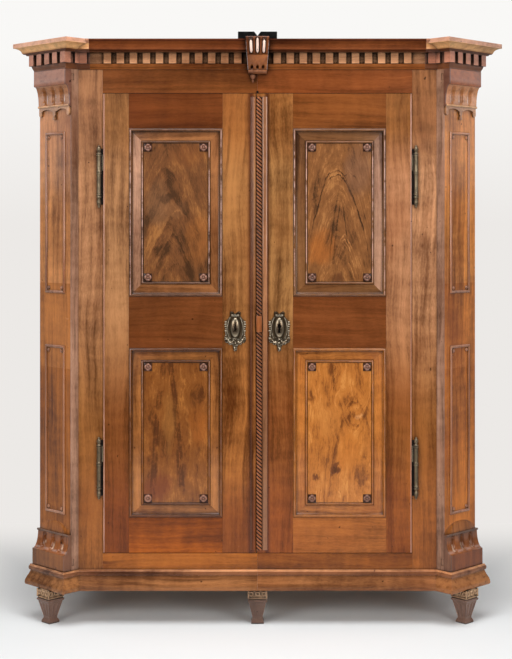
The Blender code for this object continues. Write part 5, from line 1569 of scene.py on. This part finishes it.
@dataclass(frozen=True)
class CornerCarving:
    """Capitals, base consoles and beaded panels of the two canted corners."""

    spacing: float = 0.050
    flute: float = 0.0125
    depth: float = 0.0090
    steps: int = 96

    def place(self, side: str) -> Matrix:
        """Frame of a corner: X along its face toward the doors, -Y out of it, Z up."""
        made = Matrix.Translation((*CORNER_MIDDLE, 0)) @ Matrix.Rotation(-math.pi / 4, 4, "Z")
        return made if side == "left" else Matrix.Diagonal((-1, 1, 1, 1)) @ made

    def half(self, _height: float) -> float:
        """Half width of a body as wide as the corner's face."""
        return CORNER_HALF + 0.0002

    def fluting(self, low: float, high: float, across: float, height: float) -> float:
        """Depth of three round-ended flutes at a place, from their lowest to their highest point."""
        total = 0.0
        for step in (-1, 0, 1):
            side = abs(across - step * self.spacing) / self.flute
            end = max(low + self.flute - height, height - high + self.flute, 0.0) / self.flute
            far = math.hypot(side, end)
            if far < 1:
                total = max(total, self.depth * math.sqrt(1 - far * far) ** 0.8)
        return total

    def capital(self, side: str) -> None:
        """Build one capital: block, console and bead."""
        foot, head, top = 1.832, 1.899, 1.953
        rows = [
            (1.8228, 0.0005), (1.8228, 0.003), *arc((1.8274, 0.0050), (0.0046, 0.0046), 170, 10, 8),
            *arc((foot, 0.0230), (head - foot, 0.0168), -90, 0, 26),
            (head + 0.0004, 0.0232), (head + 0.0006, 0.0264), (head + 0.0016, 0.0268), (top, 0.0268),
        ]
        draft = Draft()
        draft.carved(rows, self.steps, self.half, partial(self.fluting, foot + 0.002, head - 0.004))
        draft.moved(self.place(side))
        block, bright, flutes = {
            "left": ((144, 86, 59), (208, 154, 110), (170, 107, 60)),
            "right": ((152, 79, 32), (220, 166, 116), (206, 138, 88)),
        }[side]
        finish = FlutedVeneer(
            block, Grain.ACROSS, 0.6, darkening=0.95, crevice=0.018, coat=0.5, edge=0.0010, edge_wear_and_highlight=0.7,
            bands=(Band(1.8318, bright), Band(1.8990, flutes)), shift=0.0060, foot=1.835, head=1.894, half=0.0058,
            highlight_tone=(250, 226, 206))
        draft.piece(f"carved_capital_{side}", finish, "case", "walnut_case", 40.0, f"capital_{side}")

    def apron(self, side: str) -> None:
        """Build the apron: two arches between round-ended drops, the centre one with a block below."""
        head, springing, drop = 1.8240, 1.8080, 0.0075
        edge = CORNER_HALF - 0.004
        outline = [
            (-edge, head), (-edge, springing - 0.006),
            *arc((-edge + drop, springing - 0.008), (drop, drop), 180, 360, 10), (-edge + 2 * drop, springing),
            *arc((-CORNER_HALF / 2 + drop / 2 - 0.002, springing), (0.029, 0.0085), 180, 0, 12)[1:-1],
            (-drop, springing), *arc((0.0, springing - 0.008), (drop, drop), 180, 270, 5),
        ]
        outline += [(-across, height) for across, height in reversed(outline[:-1])]
        draft = Draft()
        draft.loft([[(across, -reach, height) for across, height in outline] for reach in (SEAT, 0.0066)])
        for low, high, wide in ((1.7880, 1.7915, 0.0050), (1.7790, 1.7880, 0.0072)):
            draft.block((-wide, -0.0066, low), (wide, -SEAT, high), 0.0008)
        draft.moved(self.place(side))
        finish = Veneer((186, 132, 90), Grain.ACROSS, 0.6, darkening=0.9, coat=0.4, edge=0.0010, edge_wear_and_highlight=0.7)
        draft.piece(f"apron_{side}", finish, "case", "walnut_case")

    def console(self, side: str) -> None:
        """Build one base console: block, fluted flare and ledge."""
        foot, head = 0.251, 0.312
        rows = [
            (0.1943, 0.0005), (0.1943, 0.0330), (foot - 0.0004, 0.0330), (foot, 0.0318),
            *arc((head, 0.0318), (head - foot, 0.0234), 180, 270, 26),
            (head + 0.0002, 0.0120), (head + 0.0010, 0.0130), (head + 0.0060, 0.0130), (head + 0.0072, 0.0118),
        ]

        def carve(across: float, height: float) -> float:
            """Depth of the flutes above the block."""
            return self.fluting(foot + 0.0035, head - 0.001, across, height) if height > foot else 0.0

        draft = Draft()
        draft.carved(rows, self.steps, self.half, carve)
        draft.moved(self.place(side))
        block = {"left": (122, 70, 26), "right": (122, 60, 16)}[side]
        finish = FlutedVeneer(
            (112, 68, 38), Grain.UP, 0.8, darkening=0.95, crevice=0.016, coat=0.4, edge=0.0010, edge_wear_and_highlight=0.2,
            bands=(Band(0.2508, block), Band(0.3122, (136, 78, 40)), Band(0.3200, (96, 64, 46))), foot=0.2545,
            head=0.284, half=0.0075, highlight_tone=(206, 170, 146), return_painted_light=(104, 66, 46))
        draft.piece(f"carved_console_{side}", finish, "case", "walnut_case", 40.0, f"base_console_{side}")

    def hill(self, side: str) -> None:
        """Build the hill-shaped weathering on the ledge of a base console."""
        foot, tall = 0.319, 0.0380
        rises = [rise for _x, rise in arc((0.0, 0.0), (1.0, 1.0), 0, 90, 16)]

        def dome(height: float) -> float:
            """Half width of the hill at a height."""
            rise = min(max((height - foot) / tall, 0.0), 1.0)
            return CORNER_HALF * (0.10 + 0.86 * math.sqrt(max(0.0, 1 - rise ** 1.6)))

        draft = Draft()
        draft.carved(
            [(foot + tall * rise, 0.0052 * (1 - rise) ** 0.8 + 0.0006) for rise in rises], self.steps, dome,
            lambda across, height: 0.004 * smooth_step(0.6, 1.0, abs(across) / dome(height)))
        draft.moved(self.place(side))
        finish = Veneer((146, 86, 40), Grain.UP, 0.8, darkening=0.8, edge=0.0008, edge_wear_and_highlight=0.1)
        draft.piece(f"console_hill_{side}", finish, "case", "walnut_case", 40.0)

    def beads(self, side: str) -> None:
        """Build the round beads of one corner's two panels, and the studs in their corners."""
        draft = Draft()
        wide, inset = 0.0565, 0.0185
        rounding = arc((0.0050, 0.0006), (0.0050, 0.0046), 180, 0, 8)
        stud = ((1.0, SEAT), (1.0, 0.0020), (0.8, 0.0038), (0.45, 0.0050), (0.1, 0.0054))
        for foot, head in ((0.385, 0.980), (1.165, 1.735)):
            half, middle = (wide, (head - foot) / 2 + 0.0005), (0.0, 0.0, (foot + head) / 2)
            draft.frame(half, [(0.0, SEAT), *rounding, (0.0100, SEAT)], middle, closed=True)
            for x in (-wide + inset, wide - inset):
                for z in (foot + inset, head - inset):
                    draft.loft([
                        [(x + across, -reach, z + rise) for across, rise in circle(0.0068 * share, 14)]
                        for share, reach in stud
                    ])
        draft.moved(self.place(side))
        finish = Veneer((160, 106, 74), Grain.UP, 0.6, darkening=0.95, crevice=0.008, coat=0.8, edge=0.0006, edge_wear_and_highlight=0.8)
        draft.piece(f"corner_beads_{side}", finish, "case", "walnut_case", 40.0)

    def build(self) -> None:
        """Build both corners."""
        for side, _sign in SIDES:
            for part in (self.capital, self.apron, self.console, self.hill, self.beads):
                part(side)


@dataclass(frozen=True)
class Keystone:
    """Tapering keystone with three cabled flutes, notches and a lip."""

    top: float = 2.0624
    foot: float = 1.936
    half_top: float = 0.0409
    half_foot: float = 0.0320
    reach: float = 0.068
    spacing: float = 0.0240
    flute: float = 0.0078

    def half(self, height: float) -> float:
        """Half width at a height."""
        return self.half_foot + (self.half_top - self.half_foot) * (height - self.foot) / (self.top - self.foot)

    def centre(self, step: int, height: float) -> float:
        """Place across of a flute at a height, the flutes spreading with the stone."""
        return step * self.spacing * self.half(height) / self.half_top

    def carve(self, across: float, height: float) -> float:
        """Depth of the flutes and of the notches above the lip."""
        total = 0.0
        for step in (-1, 0, 1):
            side = abs(across - self.centre(step, height))
            far = math.hypot(side, max(2.0110 - height, 0.0)) / self.flute
            if far < 1 and height < self.top - 0.004:
                total = max(total, 0.0065 * math.sqrt(1 - far * far))
            notch = math.hypot(side / 0.0048, (height - 1.9600) / 0.0066)
            if notch < 1:
                total = max(total, 0.009 * (1 - notch ** 4))
        return total

    def rows(self) -> Pairs:
        """Height and reach of each row of the stone, at most about 3 mm apart."""
        rise = self.top - self.foot
        shares = (
            (0.00, 0.30), (0.03, 0.42), (0.06, 0.46), (0.10, 0.44), (0.115, 0.36), (0.14, 0.37), (0.20, 0.42),
            (0.28, 0.52), (0.36, 0.63), (0.44, 0.72), (0.505, 0.78), (0.512, 0.755), (0.525, 0.755), (0.532, 0.82),
            (0.60, 0.86), (0.70, 0.90), (0.80, 0.93), (0.91, 0.955), (0.92, 0.96), (0.93, 0.995), (0.985, 1.0),
            (1.00, 0.985),
        )
        rows = []
        for (low, one), (high, other) in zip(shares, shares[1:]):
            count = max(1, int((high - low) * rise / 0.003))
            for share in (step / count for step in range(count)):
                height = self.foot + rise * (low + (high - low) * share)
                rows.append((height, self.reach * (one + (other - one) * share)))
        return [*rows, (self.top, self.reach * shares[-1][1])]

    def stone(self) -> None:
        """Build the stone."""
        draft = Draft()
        draft.carved(self.rows(), 60, self.half, self.carve, lambda height: SEAT if height < 1.9535 else -0.026)
        draft.moved(Matrix.Translation((0.0, FRONT_Y, 0.0)))
        finish = Veneer(
            (104, 58, 34), Grain.UP, 0.8, darkening=0.95, crevice=0.014, coat=0.3, edge=0.0010, edge_wear_and_highlight=0.5,
            bands=(Band(1.9530, (130, 80, 50)), Band(2.0030, (146, 82, 34))))
        draft.piece("carved_keystone", finish, "case", "walnut_cap", 40.0, "keystone")

    def cables(self) -> None:
        """Build the pale cables in the flutes."""
        draft = Draft()
        low = 2.0055
        for step in (-1, 0, 1):
            high = 2.0500 if step else 2.0575
            rings = []
            for share in (0.0, 0.04, 0.10, 0.20, 0.5, 0.8, 0.90, 0.96, 1.0):
                height = low + (high - low) * share
                size = math.sin(math.pi * min(share + 0.02, 1.02 - share, 0.18) / 0.36) * 0.0050
                reach = self.reach * 0.86 + (height - low) * 0.17 - 0.0025
                middle = self.centre(step, height)
                rings.append([(middle + x, fore(reach + y), height) for x, y in circle(size, 12)])
            draft.loft(rings)
        finish = Veneer((236, 204, 188), Grain.UP, 0.3, darkening=0.6, crevice=0.004, coat=0.3, edge=0.0005)
        draft.piece("key_cables", finish, "case", "walnut_cap", 60.0)

    def pendant(self) -> None:
        """Build the turned drop under the stone, and a dark disc in the frieze below it: painted shade in the peg's
        hole.
        """
        profile = [
            (0.0001, 1.9050), (0.0016, 1.9062), (0.0042, 1.9110), (0.0040, 1.9150), (0.0028, 1.9175),
            (0.0060, 1.9200), (0.0088, 1.9250), (0.0094, 1.9300), (0.0080, 1.9345), (0.0070, 1.9365),
        ]
        draft = Draft()
        draft.turned((-0.0165, fore(0.0098)), profile, 16)
        finish = Veneer((132, 84, 58), Grain.UP, 0.6, darkening=0.95, crevice=0.008, coat=0.3, edge=0.0006)
        draft.piece("key_pendant", finish, "case", "walnut_cap", 50.0)
        # Near-black disc on the frieze: painted shade in the peg's hole.
        draft = Draft()
        draft.turned((0.0, 0.0), [(0.0001, 0.0), (0.0042, 0.0), (0.0042, 0.0006), (0.0001, 0.0006)], 14)
        draft.moved(Matrix.Translation((0.0, fore(SEAT), 1.8745)) @ Matrix.Rotation(math.pi / 2, 4, "X"))
        draft.piece("peg_hole", Veneer((10, 6, 4), roughness=0.9, coat=0.0), "case", "walnut_rail")

    def build(self) -> None:
        """Build the stone, its cables and its pendant."""
        self.stone()
        self.cables()
        self.pendant()


@dataclass(frozen=True)
class Studio:
    """Pale seamless ground, soft lamps and the camera."""

    eye: tuple[float, float, float] = (0.0, FRONT_Y - 5.0, 1.406)
    focal: float = 1420.0
    size: tuple[int, int] = (512, 659)
    middle: tuple[float, float] = (257.5, 225.0)
    sensor: float = 36.0
    paper: Tone = (236, 233, 230)
    sky: Tone = (249, 248, 246)

    def camera(self) -> None:
        """Level camera, shifted as the photograph was framed."""
        lens = bpy.data.cameras.new("camera")
        width, height = self.size
        lens.sensor_width = self.sensor
        lens.lens = self.focal * self.sensor / height
        lens.shift_x = (width / 2 - self.middle[0]) / height
        lens.shift_y = (self.middle[1] - height / 2) / height
        item = placed("camera", lens)
        item.location = self.eye
        item.rotation_euler = (math.pi / 2, 0, 0)
        bpy.context.scene.camera = item

    def ground(self) -> None:
        """Floor that keeps the shadows near the case and turns to plain white far from it."""
        shape = bmesh.new()
        bmesh.ops.create_circle(shape, cap_ends=True, segments=96, radius=60.0)
        mesh = bpy.data.meshes.new("ground")
        shape.to_mesh(mesh)
        shape.free()
        graph = Graph(bpy.data.materials.new("pale_ground"))
        x, y, _z = graph.place()
        far = y.ramp(0.30, 1.50).most(abs(x).ramp(0.84, 1.35)).most(y.ramp(-2.2, -4.2))
        graph.shade({
            "Base Color": graph.mixed(far, (241, 244, 245), BLACK), "Roughness": 1.0, "Specular IOR Level": 0.0,
            "Emission Color": graph.mixed(far * graph.seen(y.ramp(-2.0, 0.0)), BLACK, self.paper),
            "Emission Strength": 1.0})
        mesh.materials.append(graph.owner)
        placed("ground", mesh)

    def backdrop(self) -> None:
        """Dim white surroundings for the light, and the paper's tones for what sees them."""
        graph = Graph(bpy.data.worlds.new("studio"))
        graph.shade({"Color": WHITE, "Strength": 0.12})
        _x, y, z = graph.split(graph.node("ShaderNodeTexCoord", {}, {}).outputs["Generated"])
        tone = graph.mixed(z.ramp(0.0, 0.12, "LINEAR"), self.paper, self.sky)
        paper = graph.node("ShaderNodeBackground", {}, {"Color": tone})
        seen = graph.seen(y.ramp(0.0, 1.0, "LINEAR"))
        blend = graph.node("ShaderNodeMixShader", {}, {0: seen, 1: graph.shader.outputs[0], 2: paper.outputs[0]})
        graph.feed(graph.tree.nodes["World Output"].inputs[0], blend.outputs[0])
        bpy.context.scene.world = graph.owner

    def lamp(self, name: str, place: Point, aim: Point, size: Point, power: float, tone: Point) -> None:
        """Soft rectangular lamp.

        Args:
            name: its name.
            place: where it stands.
            aim: the point that it faces.
            size: width and height.
            power: watts.
            tone: its colour.
        """
        light = bpy.data.lights.new(name, "AREA")
        light.shape = "RECTANGLE"
        light.size, light.size_y = size
        light.energy = power
        light.color = tone
        item = placed(name, light)
        item.location = place
        item.rotation_mode = "QUATERNION"
        item.rotation_quaternion = (Vector(aim) - Vector(place)).to_track_quat("-Z", "Y")

    def build(self) -> None:
        """Build the studio."""
        bpy.context.scene.view_settings.view_transform = "Standard"
        self.camera()
        self.ground()
        self.backdrop()
        cool, rosy = (1.0, 0.99, 0.98), (1.0, 0.97, 0.97)
        for (side, sign), power in zip(SIDES, (112, 107)):
            self.lamp(f"window_{side}", (sign * 2.95, -4.6, 2.15), (0, 0, 1.0), (2.6, 2.0), power, cool)
        for (side, sign), power in zip(SIDES, (13, 12)):
            self.lamp(f"side_{side}", (sign * 3.6, 0.7, 2.3), (0, 0, 1.6), (1.4, 1.4), power, rosy)
        self.lamp("overhead", (0.0, -1.7, 4.6), (0, -0.5, 0.0), (3.6, 2.6), 158, (1.0, 1.0, 1.0))


def main() -> None:
    """Build the studio, then each sub-assembly."""
    logging.basicConfig(level=logging.INFO, format="%(message)s")
    Studio().build()
    panels = DoorPanels()
    panels.build()
    Rosettes().build(panels)
    MeetingStrip().build()
    DoorEdges().build()
    Escutcheon(-0.0785, False).build("left")
    Escutcheon(0.0768, True).build("right")
    Hinges().build()
    Feet().build()
    CornerCarving().build()
    Keystone().build()
    CarcaseFinish().dress({node for item in bpy.data.objects for node in (item.get("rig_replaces") or ())})


if __name__ == "__main__":
    main()
